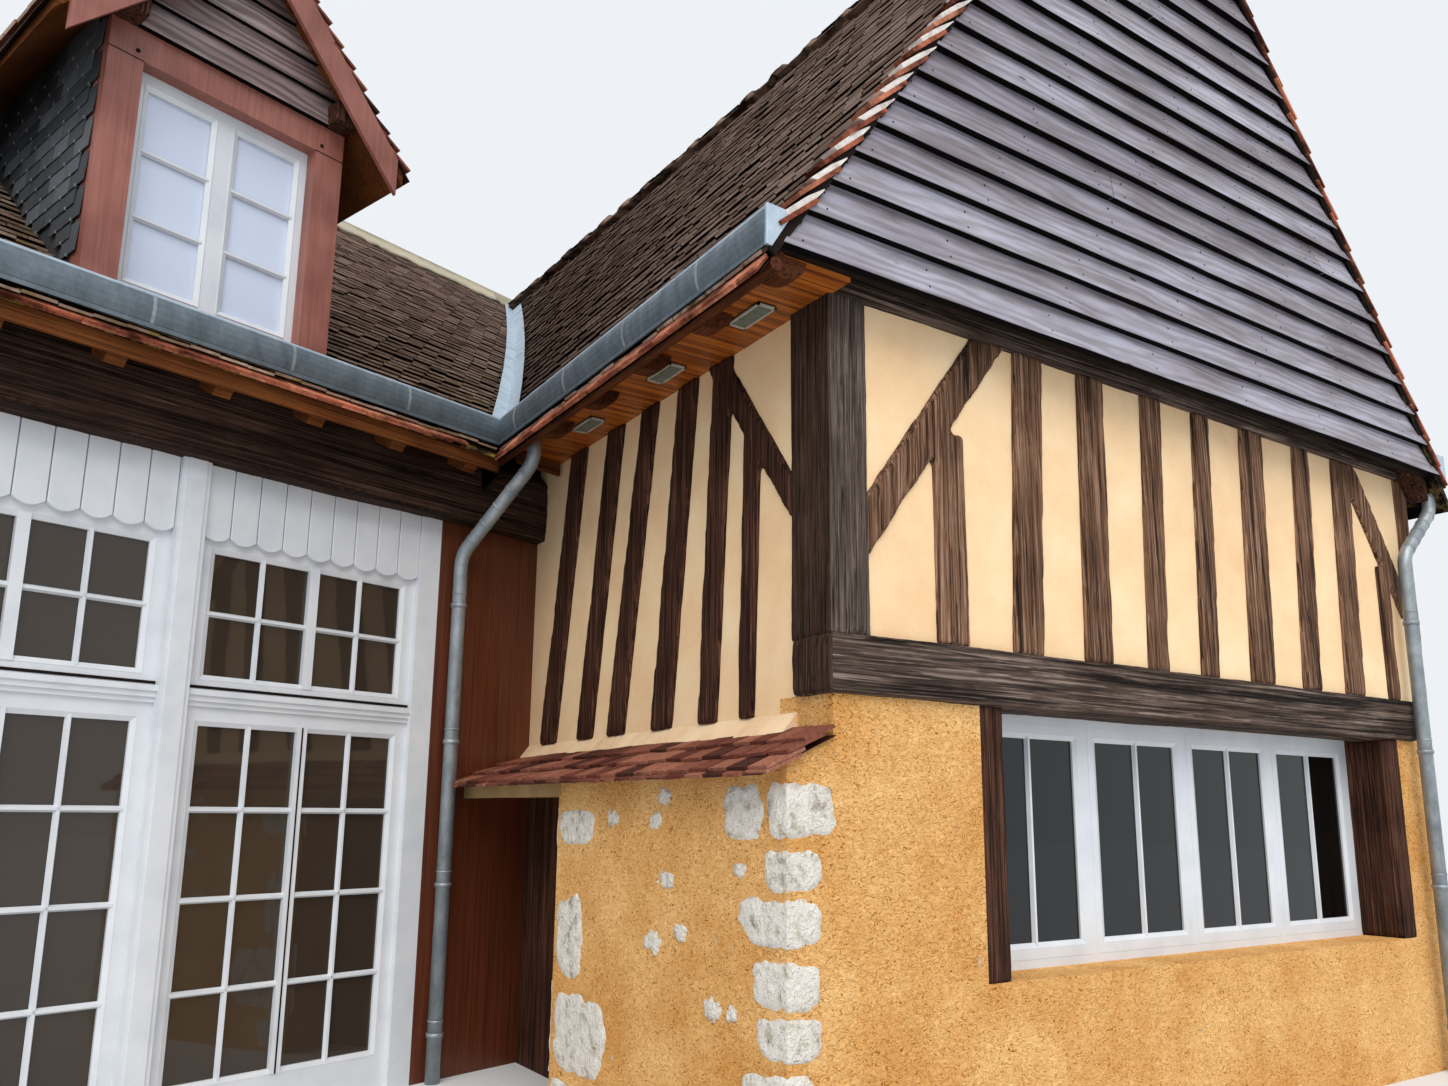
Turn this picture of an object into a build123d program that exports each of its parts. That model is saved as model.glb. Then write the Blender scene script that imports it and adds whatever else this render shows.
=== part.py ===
from build123d import *
from math import cos, radians, sin, tan
import os

os.makedirs("parts", exist_ok=True)

# A half-timbered house in two wings, in millimetres with Z up. The gable wing looks along -Y.
# The left wing stands back from it and is turned by wing_angle. Both back onto one plain party wall.
# The origin is on the ground, in the middle of the gable front wall's foot.
# In plan the gable wing is measured from its front left corner post: u to the right, v inwards.
# The left wing is measured from the same corner: along its front, and into the building.

# Plan of the house
wing_width = 5950
front_wall = 450
timber_wall = 200
masonry_wall = 450
masonry_out = 280
masonry_splay = 280
wing_angle = 18.25
joinery_back = 3650
party_back = 9380
party_wall = 300
party_rise = 120
end_wall = 300

# Heights
floor_slab = 100
beam_bottom = 2410
beam_height = 290
plate_bottom = 4545
plate_height = 180
plate_depth = 230
soffit_level = 4520
soffit_board = 25

# Gable wing's timber frame
stud_proud = 25
stud_depth = 120
post_width = 225
post_side = 315
right_post = 130
beam_depth = 330
beam_proud = 35
beam_right_inset = 250
side_foot = 2330
brace_width = 260

# Studs of the right side
right_stud_first = 700
right_stud_spacing = 1000
right_stud_width = 220

# Front studs: middle of the foot as a share of the front, width, and the head's lean to the right
front_studs = ((0.237, 240, 90), (0.3395, 240, 50), (0.4353, 200, 85), (0.5261, 180, 85),
               (0.6261, 260, 85), (0.7277, 210, 125), (0.8252, 240, 95))
left_short_stud = (825, 230)
right_short_stud = (470, 150)
left_brace = ((225, 3450), (1035, 4545))
right_brace = ((200, 3690), (750, 4545))

# Side studs: middle of the foot, width, and how far the head leans to the back
side_studs = ((3450, 270, -390), (2820, 240, -370), (2340, 230, -390), (1715, 240, -270),
              (1170, 200, -145))
side_short_stud = (765, 150, -60)
side_brace = ((315, 3600), (1000, 4520))

# Window band under the front beam
window_left = 1190
right_pier = 490
window_post = 180
window_recess = 305
window_sill = 950
sash_count = 4
sash_bar = 65
sash_depth = 60
glass_thick = 12

# Gable wing's roof, measured on the line of the weatherboards' ends
roof_pitch = 55.55
boards_left = -490
boards_right_out = 60
boards_foot = 4545
boards_out = 225
boards_thick = 45
verge_out = 45
deck_drop = 190
tile_rise = 97
eaves_run = 130
ridge_shift = 484
ridge_leg = 150
ridge_thick = 25

# Eaves trim and rain goods
log_radius = 36
log_run = 40
tail_width = 110
tail_reach = 190
tail_drop = 120
tail_tip = 40
soffit_lap = 50
tail_first = -150
tail_spacing = 680
tail_count = 5
vent_long = 300
vent_wide = 110
vent_thick = 12
vent_place = -220
vent_places = (410, 1370, 2480)
gutter_foot_rise = 56
gutter_sole_rise = 190
gutter_top = 4705
zinc = 8
valley_half = 110
pipe_radius = 50
pipe_head = 4470
pipe_knee = 3850
right_pipe_top = (130, -150)
right_pipe_foot = (-300, -110)
inner_pipe_top = (-420, 2960)
inner_pipe_foot = (415, 3580)
inner_pipe_knee = 3700
elbow_cut = 70
pipe_drop = 190
seat = 0.3

# Left wing
bay_width = 1560
joinery_post = 170
joinery_depth = 120
right_jamb = 280
left_beam_bottom = 3950
left_beam_top = 4400
left_beam_out = 150
left_beam_depth = 320
beam_let_in = 10
valance_foot = 3500
valance_thick = 30
valance_boards = 9
valance_scallop = 50
transom_foot = 2520
bay_stile = 80
bay_rail = 90
frame_depth = 60
frame_set_back = 50
leaf_foot = 230
panel_thick = 50
left_eaves_back = 3200
left_eaves_level = 4452
left_tile_drop = 80
left_fascia = 30
left_fascia_height = 110
left_tail_spacing = 605
left_tail_first = 230
left_tail_count = 6
left_tail_width = 110
left_tail_cut = 60
attic_top = 4340
attic_floor = 180

# Dormer on the left wing
dormer_shift = 70
dormer_width = 1520
dormer_face = 3480
dormer_post = 200
dormer_post_depth = 160
dormer_apron = 125
dormer_light = 1440
dormer_lintel = 200
dormer_pitch = 48.4
dormer_over = 204
dormer_deck_drop = 90
dormer_deck_inset = 40
dormer_tile_rise = 80
dormer_eaves = 390
dormer_front_out = 230
dormer_cheek = 90
dormer_board = 60
purlin_side = 150
purlin_out = 150
barge_thick = 30
barge_drop = 270
barge_inset = 105
dormer_bar = 75
dormer_well = 5600

# Pentice over the thicker ground-floor wall, and the plaster flare above it
pentice_foot = 2190
pentice_low = 1990
pentice_out = 440
pentice_tiles = 55
flare_out = 140

# Doorway recess in the ground-floor side wall
recess_front = 2220
recess_head = 1930
recess_board = 40

# Worked out from the sizes above
wing_left = -wing_width / 2
front = -front_wall / 2
stud_foot = beam_bottom + beam_height
beam_right = wing_width - beam_right_inset
window_right = wing_width - right_pier - window_post
boards_right = wing_width + boards_right_out
ridge_skew = ridge_shift / party_back
splay = masonry_splay / joinery_back
slope = tan(radians(roof_pitch))
turn = radians(wing_angle)
ridge_front = (boards_left + boards_right) / 2
ridge_height = boards_foot + (ridge_front - boards_left) * slope
verge = -boards_out - verge_out
ridge_top = ridge_height + tile_rise
left_slope = (ridge_top - left_eaves_level) / (party_back - left_eaves_back)
dormer_slope = tan(radians(dormer_pitch))
dormer_sill = left_eaves_level + (dormer_face - left_eaves_back) * left_slope + dormer_apron
dormer_head = dormer_sill + dormer_light
dormer_plate = dormer_head + dormer_lintel
dormer_ridge = dormer_plate + dormer_width / 2 * dormer_slope + dormer_over
dormer_middle = right_jamb - 1.5 * joinery_post - bay_width - dormer_shift
dormer_half = dormer_width / 2 + dormer_eaves
barge_half = dormer_half - barge_inset
left_bay_end = right_jamb - 3 * joinery_post - 2 * bay_width
left_end = left_bay_end - end_wall
beam_front = joinery_back - left_beam_out
roof_end = (party_back + (boards_right + eaves_run) * sin(turn)) / cos(turn) + party_wall
far = 20000


def plan(u, v):
    """A gable wing plan point in the house's own frame."""
    return (wing_left + u, front + v)


def wing_plan(along, into):
    """A left wing plan point in the house's own frame."""
    return plan(along * cos(turn) - into * sin(turn), along * sin(turn) + into * cos(turn))


def depth_at(u, into):
    """How far inwards a line parallel to the left wing's front lies at u."""
    return (into + u * sin(turn)) / cos(turn)


def along_at(u, into):
    """Where a gable wing line of constant u crosses a left wing line, measured along that wing."""
    return u * cos(turn) + depth_at(u, into) * sin(turn)


def wing_front(into):
    """The left wing's upright plane at a distance inwards, looking out of the wing."""
    return Plane(origin=(*wing_plan(0, into), 0), x_dir=(cos(turn), sin(turn), 0),
                 z_dir=(sin(turn), -cos(turn), 0))


def wing_section(along):
    """An upright plane across the left wing: its X runs inwards and its Y is up."""
    return Plane(origin=(*wing_plan(along, 0), 0), x_dir=(-sin(turn), cos(turn), 0),
                 z_dir=(cos(turn), sin(turn), 0))


def block(u0, u1, v0, v1, z0, z1, mode=Mode.ADD):
    """An upright block squared to the gable wing."""
    x, y = plan((u0 + u1) / 2, (v0 + v1) / 2)
    with Locations((x, y, (z0 + z1) / 2)):
        Box(u1 - u0, v1 - v0, z1 - z0, mode=mode)


def wing_block(a0, a1, b0, b1, z0, z1, mode=Mode.ADD):
    """An upright block squared to the left wing."""
    x, y = wing_plan((a0 + a1) / 2, (b0 + b1) / 2)
    with Locations(Location((x, y, (z0 + z1) / 2), (0, 0, wing_angle))):
        Box(a1 - a0, b1 - b0, z1 - z0, mode=mode)


def prism(plane, points, length):
    """A closed outline on a plane, drawn out along the plane's normal."""
    with BuildPart() as solid:
        with BuildSketch(plane):
            with BuildLine():
                Polyline(*points, close=True)
            make_face()
        extrude(amount=length)
    return solid.part


def front_prism(points, v0, v1):
    """An outline in u and height on the gable front, between two depths."""
    return prism(Plane.XZ.offset(-front - v1), [(wing_left + u, z) for u, z in points], v1 - v0)


def side_prism(points, u0, u1):
    """An outline in v and height on the gable wing's side, between two u."""
    return prism(Plane.YZ.offset(wing_left + u0), [(front + v, z) for v, z in points], u1 - u0)


def floor_prism(points, z0, z1):
    """A plan outline of plan points, between two heights."""
    return prism(Plane.XY.offset(z0), points, z1 - z0)


def wing_prism(points, b0, b1):
    """An outline in along and height on the left wing's front, between two depths."""
    return prism(wing_front(b1), points, b1 - b0)


def section_prism(points, a0, a1):
    """An outline in depth and height across the left wing, between two places along it."""
    return prism(wing_section(a0), points, a1 - a0)


def ridge_at(v):
    """The ridge's u at a depth: it runs a little to the left as it goes back."""
    return ridge_front - ridge_skew * (v - verge)


def roof_line(v, u):
    """Height of the line of the weatherboards' ends at a depth and u, on either slope."""
    top = ridge_at(v)
    if u < top:
        return boards_foot + (ridge_height - boards_foot) * (u - boards_left) / (top - boards_left)
    return boards_foot + (ridge_height - boards_foot) * (boards_right - u) / (boards_right - top)


def left_line(into):
    """Height of the left wing's tiled surface at a depth."""
    return left_eaves_level + (into - left_eaves_back) * left_slope


def ruled(sections):
    """A solid between outlines given in u and height, each at its own depth."""
    with BuildPart() as solid:
        for v, points in sections:
            with BuildSketch(Plane.XZ.offset(-front - v)):
                with BuildLine():
                    Polyline(*[(wing_left + u, z) for u, z in points], close=True)
                make_face()
        loft(ruled=True)
    return solid.part


def roof_slope(low, high, side):
    """A layer of one roof slope from eaves to ridge, between two heights over the board line."""
    sections = []
    for v in (verge, roof_end):
        edge = boards_left - eaves_run if side < 0 else boards_right + eaves_run
        foot, top = roof_line(v, edge), ridge_at(v)
        sections.append((v, [(edge, foot + low), (top, ridge_height + low),
                             (top, ridge_height + high), (edge, foot + high)]))
    return ruled(sections)


def both_slopes(low, high):
    """The same layer over both slopes in one piece."""
    sections = []
    for v in (verge, roof_end):
        left, right = boards_left - eaves_run, boards_right + eaves_run
        line = [(left, roof_line(v, left)), (ridge_at(v), ridge_height), (right, roof_line(v, right))]
        sections.append((v, [(u, z + low) for u, z in line] + [(u, z + high) for u, z in reversed(line)]))
    return ruled(sections)


def out_at(out, v):
    """How far a splayed face that starts at out stands out at a depth."""
    return out + splay * v


def ledge(out, v0, v1, z0, z1):
    """Masonry between the gable wing's side and a splayed face, from one height to another."""
    corners = [plan(0, v0), plan(0, v1), plan(-out_at(out, v1), v1), plan(-out_at(out, v0), v0)]
    return floor_prism(corners, z0, z1)


def splayed(points, v0, v1):
    """A solid along the gable wing's side whose outer corners follow the splayed face."""
    return ruled([(v, [(u if u == 0 else -out_at(-u, v), z) for u, z in points]) for v in (v0, v1)])


def quarter_round(start, end):
    """Points of a quarter of an ellipse that leaves start level and meets end upright."""
    (u0, z0), (u1, z1) = start, end
    turns = [radians(90 * step / 6) for step in range(7)]
    return [(u0 + (u1 - u0) * sin(angle), z1 + (z0 - z1) * cos(angle)) for angle in turns]


def save(piece, name):
    """Label a finished piece and write it."""
    piece.part.label = name
    export_step(piece.part, f"parts/{name}.step")


def leaning_stud(foot, width, lean, low, high):
    """Outline of a stud that leans from its foot to its head."""
    half = width / 2
    return [(foot - half, low), (foot + half, low), (foot + lean + half, high), (foot + lean - half, high)]


def under_brace(u, outer, head, width):
    """Height of a brace's lower edge at u."""
    (u0, z0), (u1, z1) = outer, head
    side = 1 if u1 > u0 else -1
    start_z = z0 - width * 1.25
    return start_z + (z1 - start_z) * (u - u0) / (u1 + side * width - u0)


def brace_outline(outer, head, width):
    """Outline of a brace from a post up to a plate: its upper edge runs from outer to head."""
    (u0, z0), (u1, z1) = outer, head
    side = 1 if u1 > u0 else -1
    return [(u0, z0), (u1, z1), (u1 + side * width, z1), (u0, z0 - width * 1.25)]


def beyond(into):
    """Everything deeper than a line parallel to the left wing's front."""
    return floor_prism([wing_plan(-far, into), wing_plan(far, into), wing_plan(far, into + far),
                        wing_plan(-far, into + far)], -far / 2, far)


def valley_point(level):
    """Where both wings' tiled surfaces reach one level, as u and v."""
    part = (level - tile_rise - boards_foot) / (ridge_height - boards_foot)
    into = left_eaves_back + (level - left_eaves_level) / left_slope
    reach = ridge_front - boards_left + ridge_skew * verge - ridge_skew * into / cos(turn)
    u = (boards_left + part * reach) / (1 + part * ridge_skew * tan(turn))
    return u, depth_at(u, into)


# Tools that trim other pieces: beyond the party wall's face, either side of the valley, the roofs
valley = [valley_point(left_eaves_level + (ridge_top - left_eaves_level) * step / 6) for step in range(7)]
valley_foot, valley_head = valley[0], valley[-1]
valley_start = (2 * valley_foot[0] - valley[1][0], 2 * valley_foot[1] - valley[1][1])
valley_end = (valley_head[0] + 400, valley_head[1] + 1600)
valley_line = [plan(*valley_start)] + [plan(*point) for point in valley] + [plan(*valley_end)]
gable_corners = [plan(far, valley_end[1]), plan(far, -far / 4), plan(valley_start[0], -far / 4)]
gable_side = floor_prism(valley_line + gable_corners, 0, far)
left_side = floor_prism(valley_line + [plan(-far, valley_end[1]), plan(-far, valley_start[1])], 0, far)
behind_party = beyond(party_back)
behind_joinery = beyond(joinery_back)
over_gable_deck = both_slopes(-deck_drop, far)
left_deck_drop = left_line(beam_front) - left_beam_top
over_left_deck = section_prism([(0, left_line(0) - left_deck_drop), (far, left_line(far) - left_deck_drop),
                                (far, 2 * far), (0, 2 * far)], -far / 2, far)
under_left_tiles = section_prism([(0, -far), (far, -far), (far, left_line(far)), (0, left_line(0))],
                                 -far / 2, far / 2)

# Pentice of flat tiles over the masonry's ledge, and what lies over its underside
pentice_end = 2 * joinery_back
pentice_tops = [(0, pentice_foot + pentice_tiles), (-pentice_out, pentice_low + pentice_tiles)]
with BuildPart() as pentice:
    outline = [(0, pentice_foot), (-pentice_out, pentice_low)] + pentice_tops[::-1]
    add(splayed(outline, -stud_proud, pentice_end))
    add(behind_joinery, mode=Mode.SUBTRACT)
save(pentice, "pentice")
over_pentice = splayed([(0, pentice_foot), (-pentice_out, pentice_low), (-pentice_out, far), (0, far)],
                       -stud_proud, pentice_end)

# Ground floors
with BuildPart() as gable_floor:
    inner = wing_width - masonry_wall
    add(floor_prism([plan(timber_wall, front_wall), plan(inner, front_wall),
                     plan(inner, depth_at(inner, party_back)),
                     plan(timber_wall, depth_at(timber_wall, party_back))], 0, floor_slab))

with BuildPart() as left_floor:
    inside = joinery_back + joinery_depth
    add(floor_prism([wing_plan(left_bay_end, inside), plan(timber_wall, depth_at(timber_wall, inside)),
                     plan(timber_wall, depth_at(timber_wall, party_back)),
                     wing_plan(left_bay_end, party_back)], 0, floor_slab))
    add(gable_floor.part)
save(left_floor, "ground_floor")

# Gable front at ground level: rendered masonry beside and under the window band
with BuildPart() as front_left_pier:
    block(0, window_left - window_post, 0, front_wall, 0, beam_bottom)
    add(ledge(masonry_out, 0, front_wall, 0, pentice_foot))
    add(over_pentice, mode=Mode.SUBTRACT)

with BuildPart() as front_right_pier:
    block(window_right + window_post, wing_width, 0, front_wall, 0, beam_bottom)
    block(beam_right, wing_width, 0, timber_wall, beam_bottom, stud_foot)

with BuildPart() as window_apron:
    block(window_left - window_post, window_right + window_post, 0, front_wall, 0, window_sill)
    add(front_left_pier.part)
    add(front_right_pier.part)
save(window_apron, "front_masonry")

with BuildPart() as window_posts:
    block(window_left - window_post, window_left, 0, front_wall, window_sill, beam_bottom)
    block(window_right, window_right + window_post, 0, front_wall, window_sill, beam_bottom)
save(window_posts, "window_posts")

# Window band: one frame with four lights, and their glass
light = (window_right - window_left - sash_bar) / sash_count
with BuildPart() as window_frame:
    block(window_left, window_right, window_recess, window_recess + sash_depth, window_sill, beam_bottom)
    x, y = plan((window_left + window_right) / 2, window_recess + sash_depth / 2)
    with Locations((x, y, (window_sill + beam_bottom) / 2)):
        with GridLocations(light, 1, sash_count, 1):
            Box(light - sash_bar, sash_depth, beam_bottom - window_sill - 2 * sash_bar, mode=Mode.SUBTRACT)
save(window_frame, "window_frame")

with BuildPart() as window_glass:
    with Locations((x, y, (window_sill + beam_bottom) / 2)):
        with GridLocations(light, 1, sash_count, 1):
            Box(light - sash_bar, glass_thick, beam_bottom - window_sill - 2 * sash_bar)
save(window_glass, "window_glass")

# Side masonry, thicker than the timber wall above it, with a doorway recess at its back end
with BuildPart() as side_masonry:
    block(0, timber_wall, front_wall, recess_front, 0, side_foot)
    add(ledge(masonry_out, front_wall, recess_front, 0, pentice_foot))
    add(over_pentice, mode=Mode.SUBTRACT)

with BuildPart() as recess_lintel:
    block(0, timber_wall, recess_front, pentice_end, recess_head, side_foot)
    add(ledge(masonry_out, recess_front, pentice_end, recess_head, pentice_foot))
    add(over_pentice, mode=Mode.SUBTRACT)
    add(behind_joinery, mode=Mode.SUBTRACT)
    add(side_masonry.part)
save(recess_lintel, "side_masonry")

with BuildPart() as recess_boarding:
    block(0, recess_board, recess_front, 2 * joinery_back, 0, recess_head)
    add(behind_joinery, mode=Mode.SUBTRACT)
save(recess_boarding, "recess_boarding")

# Flare of plaster between the timber wall and the pentice's tiles
with BuildPart() as plaster_flare:
    outer = pentice_foot + pentice_tiles - flare_out / 2
    add(front_prism([(0, side_foot), (-flare_out, outer), (-flare_out, pentice_low), (0, pentice_low)],
                    beam_depth - beam_proud, pentice_end))
    add(behind_joinery, mode=Mode.SUBTRACT)
    add(pentice.part, mode=Mode.SUBTRACT)
    add(splayed([(0, pentice_foot), (-pentice_out, pentice_low), (-pentice_out, -far), (0, -far)],
                -stud_proud, pentice_end), mode=Mode.SUBTRACT)
save(plaster_flare, "plaster_flare")

# Front timber frame over the window band
with BuildPart() as front_beam:
    block(-beam_proud, beam_right, -beam_proud, beam_depth - beam_proud, beam_bottom, stud_foot)
save(front_beam, "front_beam")

with BuildPart() as corner_post:
    block(-stud_proud, post_width, -stud_proud, post_side, stud_foot, plate_bottom)
save(corner_post, "corner_post")

with BuildPart() as front_studs_node:
    for share, width, lean in front_studs:
        add(front_prism(leaning_stud(share * wing_width, width, lean, stud_foot, plate_bottom), -stud_proud,
                        stud_depth - stud_proud))
    right_line = [(wing_width - inset, z) for inset, z in right_brace]
    add(front_prism(brace_outline(*left_brace, brace_width), -stud_proud, stud_depth - stud_proud))
    add(front_prism(brace_outline(*right_line, brace_width), -stud_proud, stud_depth - stud_proud))
    foot, width = left_short_stud
    head = under_brace(foot, *left_brace, brace_width)
    add(front_prism(leaning_stud(foot, width, 0, stud_foot, head), -stud_proud, stud_depth - stud_proud))
    foot, width = wing_width - right_short_stud[0], right_short_stud[1]
    head = under_brace(foot, *right_line, brace_width)
    add(front_prism(leaning_stud(foot, width, 0, stud_foot, head), -stud_proud, stud_depth - stud_proud))
    block(wing_width - right_post, wing_width + stud_proud, -stud_proud, timber_wall, stud_foot, plate_bottom)
    add(over_gable_deck, mode=Mode.SUBTRACT)
save(front_studs_node, "front_studs")

with BuildPart() as front_plaster:
    block(post_width, wing_width - right_post, 0, timber_wall, stud_foot, plate_bottom)
    add(front_studs_node.part, mode=Mode.SUBTRACT)
    add(corner_post.part, mode=Mode.SUBTRACT)
    add(front_beam.part, mode=Mode.SUBTRACT)
save(front_plaster, "front_plaster")

with BuildPart() as front_plate:
    block(-stud_proud, wing_width, -stud_proud - 10, plate_depth, plate_bottom, plate_bottom + plate_height)
    add(over_gable_deck, mode=Mode.SUBTRACT)
save(front_plate, "front_plate")

# Gable wing's side frame, on the left
with BuildPart() as side_studs_node:
    for foot, width, lean in side_studs:
        add(side_prism(leaning_stud(foot, width, lean, side_foot, soffit_level), -stud_proud,
                       stud_depth - stud_proud))
    add(side_prism(brace_outline(*side_brace, brace_width * 0.75), -stud_proud, stud_depth - stud_proud))
    foot, width, lean = side_short_stud
    head = under_brace(foot, *side_brace, brace_width * 0.75)
    add(side_prism(leaning_stud(foot, width, lean, side_foot, head), -stud_proud, stud_depth - stud_proud))

with BuildPart() as side_plaster:
    block(0, timber_wall, post_side, 2 * joinery_back, side_foot, plate_bottom)
    block(0, timber_wall, plate_depth, 2 * joinery_back, plate_bottom, ridge_height)
    add(behind_joinery, mode=Mode.SUBTRACT)
    add(over_gable_deck, mode=Mode.SUBTRACT)
    add(front_left_pier.part, mode=Mode.SUBTRACT)
    add(side_studs_node.part, mode=Mode.SUBTRACT)

# Right side: masonry under a plain timber wall
with BuildPart() as right_masonry:
    block(wing_width - masonry_wall, wing_width, front_wall, far / 1.4, 0, beam_bottom)
    add(behind_party, mode=Mode.SUBTRACT)
save(right_masonry, "right_masonry")

with BuildPart() as right_studs:
    right_run = depth_at(wing_width, party_back) - right_stud_first - right_stud_width
    for number in range(int(right_run / right_stud_spacing) + 1):
        v = right_stud_first + number * right_stud_spacing
        block(wing_width - stud_depth + stud_proud, wing_width + stud_proud, v, v + right_stud_width,
              beam_bottom, soffit_level)
    add(over_gable_deck, mode=Mode.SUBTRACT)

with BuildPart() as right_plaster:
    block(wing_width - timber_wall, wing_width, timber_wall, far / 1.4, beam_bottom, plate_bottom)
    block(wing_width - timber_wall, wing_width, plate_depth, far / 1.4, plate_bottom, ridge_height)
    add(behind_party, mode=Mode.SUBTRACT)
    add(over_gable_deck, mode=Mode.SUBTRACT)
    add(right_studs.part, mode=Mode.SUBTRACT)
    add(front_studs_node.part, mode=Mode.SUBTRACT)

with BuildPart() as both_studs:
    add(side_studs_node.part)
    add(right_studs.part)
save(both_studs, "side_studs")

with BuildPart() as both_plasters:
    add(side_plaster.part)
    add(right_plaster.part)
save(both_plasters, "side_plaster")

with BuildPart() as upper_floor:
    inner = wing_width - timber_wall
    add(floor_prism([plan(timber_wall, beam_depth - beam_proud), plan(inner, beam_depth - beam_proud),
                     plan(inner, depth_at(inner, party_back)),
                     plan(timber_wall, depth_at(timber_wall, party_back))], beam_bottom, stud_foot))
    add(side_plaster.part, mode=Mode.SUBTRACT)

# Gable: a plain slab behind the weatherboards, and the boards' own slab standing out in front
with BuildPart() as gable_wall:
    block(0, wing_width, boards_thick - boards_out, timber_wall, plate_bottom + plate_height, far / 2)
    add(over_gable_deck, mode=Mode.SUBTRACT)
save(gable_wall, "gable_wall")

with BuildPart() as gable_boards:
    add(front_prism([(boards_left, boards_foot), (boards_right, boards_foot), (ridge_front, ridge_height)],
                    -boards_out, boards_thick - boards_out))
    add(both_slopes(0, far), mode=Mode.SUBTRACT)
save(gable_boards, "gable_boards")

# Gable wing's roof: a deck and a layer of flat tiles on either slope
deck_front = boards_thick - boards_out
eaves_left = boards_left - eaves_run
eaves_right = boards_right + eaves_run
soffit_top = soffit_level + soffit_board
with BuildPart() as gable_deck_left:
    add(roof_slope(-deck_drop, 0, -1))
    add(gable_side, mode=Mode.INTERSECT)
    add(behind_party, mode=Mode.SUBTRACT)
    block(-far, far, -far, deck_front, 0, far, Mode.SUBTRACT)
    block(-far, boards_left, -far, far, 0, far, Mode.SUBTRACT)
    block(-far, 0, -far, far, 0, soffit_top, Mode.SUBTRACT)
save(gable_deck_left, "gable_deck_left")

with BuildPart() as gable_deck_right:
    add(roof_slope(-deck_drop, 0, 1))
    add(behind_party, mode=Mode.SUBTRACT)
    block(-far, far, -far, deck_front, 0, far, Mode.SUBTRACT)
    block(boards_right, far, -far, far, 0, far, Mode.SUBTRACT)
save(gable_deck_right, "gable_deck_right")

with BuildPart() as gable_tiles_left:
    add(roof_slope(0, tile_rise, -1))
    add(gable_side, mode=Mode.INTERSECT)
    add(behind_party, mode=Mode.SUBTRACT)
save(gable_tiles_left, "gable_tiles_left")

with BuildPart() as gable_tiles_right:
    add(roof_slope(0, tile_rise, 1))
    add(behind_party, mode=Mode.SUBTRACT)
save(gable_tiles_right, "gable_tiles_right")

with BuildPart() as ridge_cap:
    add(both_slopes(tile_rise, tile_rise + ridge_thick))
    with BuildSketch(Plane.XY):
        with BuildLine():
            Polyline(*[plan(ridge_at(v) + side * ridge_leg, v)
                       for v, side in ((verge, -1), (roof_end, -1), (roof_end, 1), (verge, 1))], close=True)
        make_face()
    extrude(amount=far, mode=Mode.INTERSECT)
    add(behind_party, mode=Mode.SUBTRACT)
    add(gable_side, mode=Mode.INTERSECT)
save(ridge_cap, "ridge_cap")

# Eaves of the gable wing, on the left: boarded soffit, log, carved tails and small vents
with BuildPart() as eaves_soffit:
    block(boards_left + soffit_lap, 0, deck_front, far / 2, soffit_level, soffit_top)
    add(beyond(left_eaves_back + 2 * left_fascia), mode=Mode.SUBTRACT)
    add(corner_post.part, mode=Mode.SUBTRACT)
save(eaves_soffit, "eaves_soffit")

log_height = boards_foot - log_run * slope - log_radius / cos(radians(roof_pitch))
with BuildPart() as eaves_log:
    with BuildSketch(Plane.XZ.offset(-front - verge)):
        with Locations((wing_left + boards_left - log_run, log_height)):
            Circle(log_radius)
    extrude(amount=-far / 2)
    add(left_side, mode=Mode.SUBTRACT)
    add(gable_tiles_left.part, mode=Mode.SUBTRACT)

with BuildPart() as eaves_tails:
    tail_end = boards_left - log_run + log_radius
    for number in range(tail_count):
        v = tail_first + number * tail_spacing
        curve = quarter_round((tail_end + tail_tip, soffit_level - tail_drop),
                              (tail_end + tail_reach, soffit_level))
        add(front_prism([(tail_end, soffit_level - tail_drop)] + curve
                        + [(boards_left + soffit_lap, soffit_level),
                           (boards_left + soffit_lap, soffit_level + tail_tip / 2),
                           (tail_end, soffit_level + tail_tip / 2)],
                        v - tail_width / 2, v + tail_width / 2))
    add(eaves_log.part)
    add(gable_tiles_left.part, mode=Mode.SUBTRACT)
save(eaves_tails, "eaves_timbers")

with BuildPart() as soffit_vents:
    for v in vent_places:
        block(vent_place - vent_wide / 2, vent_place + vent_wide / 2, v - vent_long / 2, v + vent_long / 2,
              soffit_level - vent_thick, soffit_level)
save(soffit_vents, "soffit_vents")

# Rear party wall, standing a little above the tiles
with BuildPart() as party_wall_back:
    party_right = along_at(eaves_right, party_back)
    ridge_place = along_at(valley_head[0], party_back)
    eaves_top = roof_line(roof_end, eaves_right) + tile_rise
    add(wing_prism([(left_end, 0), (party_right, 0), (party_right, eaves_top + party_rise),
                    (ridge_place, ridge_top + party_rise), (left_end, ridge_top + party_rise)],
                   party_back, party_back + party_wall))
save(party_wall_back, "party_wall_back")

# Left wing: timber lintel on white joinery
with BuildPart() as left_beam:
    beam_end = along_at(timber_wall, beam_front + left_beam_depth)
    wing_block(left_bay_end, beam_end, beam_front, beam_front + left_beam_depth, left_beam_bottom, ridge_top)
    add(over_left_deck, mode=Mode.SUBTRACT)
    block(0, wing_width, 0, depth_at(0, joinery_back) - beam_let_in, left_beam_bottom, far / 2, Mode.SUBTRACT)
    add(side_plaster.part, mode=Mode.SUBTRACT)
    block(timber_wall, far, 0, far, 0, far, Mode.SUBTRACT)
    add(over_gable_deck, mode=Mode.SUBTRACT)
save(left_beam, "left_beam")

with BuildPart() as joinery_posts:
    for number in range(3):
        edge = right_jamb - number * (joinery_post + bay_width)
        wing_block(edge - joinery_post, edge, joinery_back, joinery_back + joinery_depth, 0, left_beam_bottom)

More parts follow.
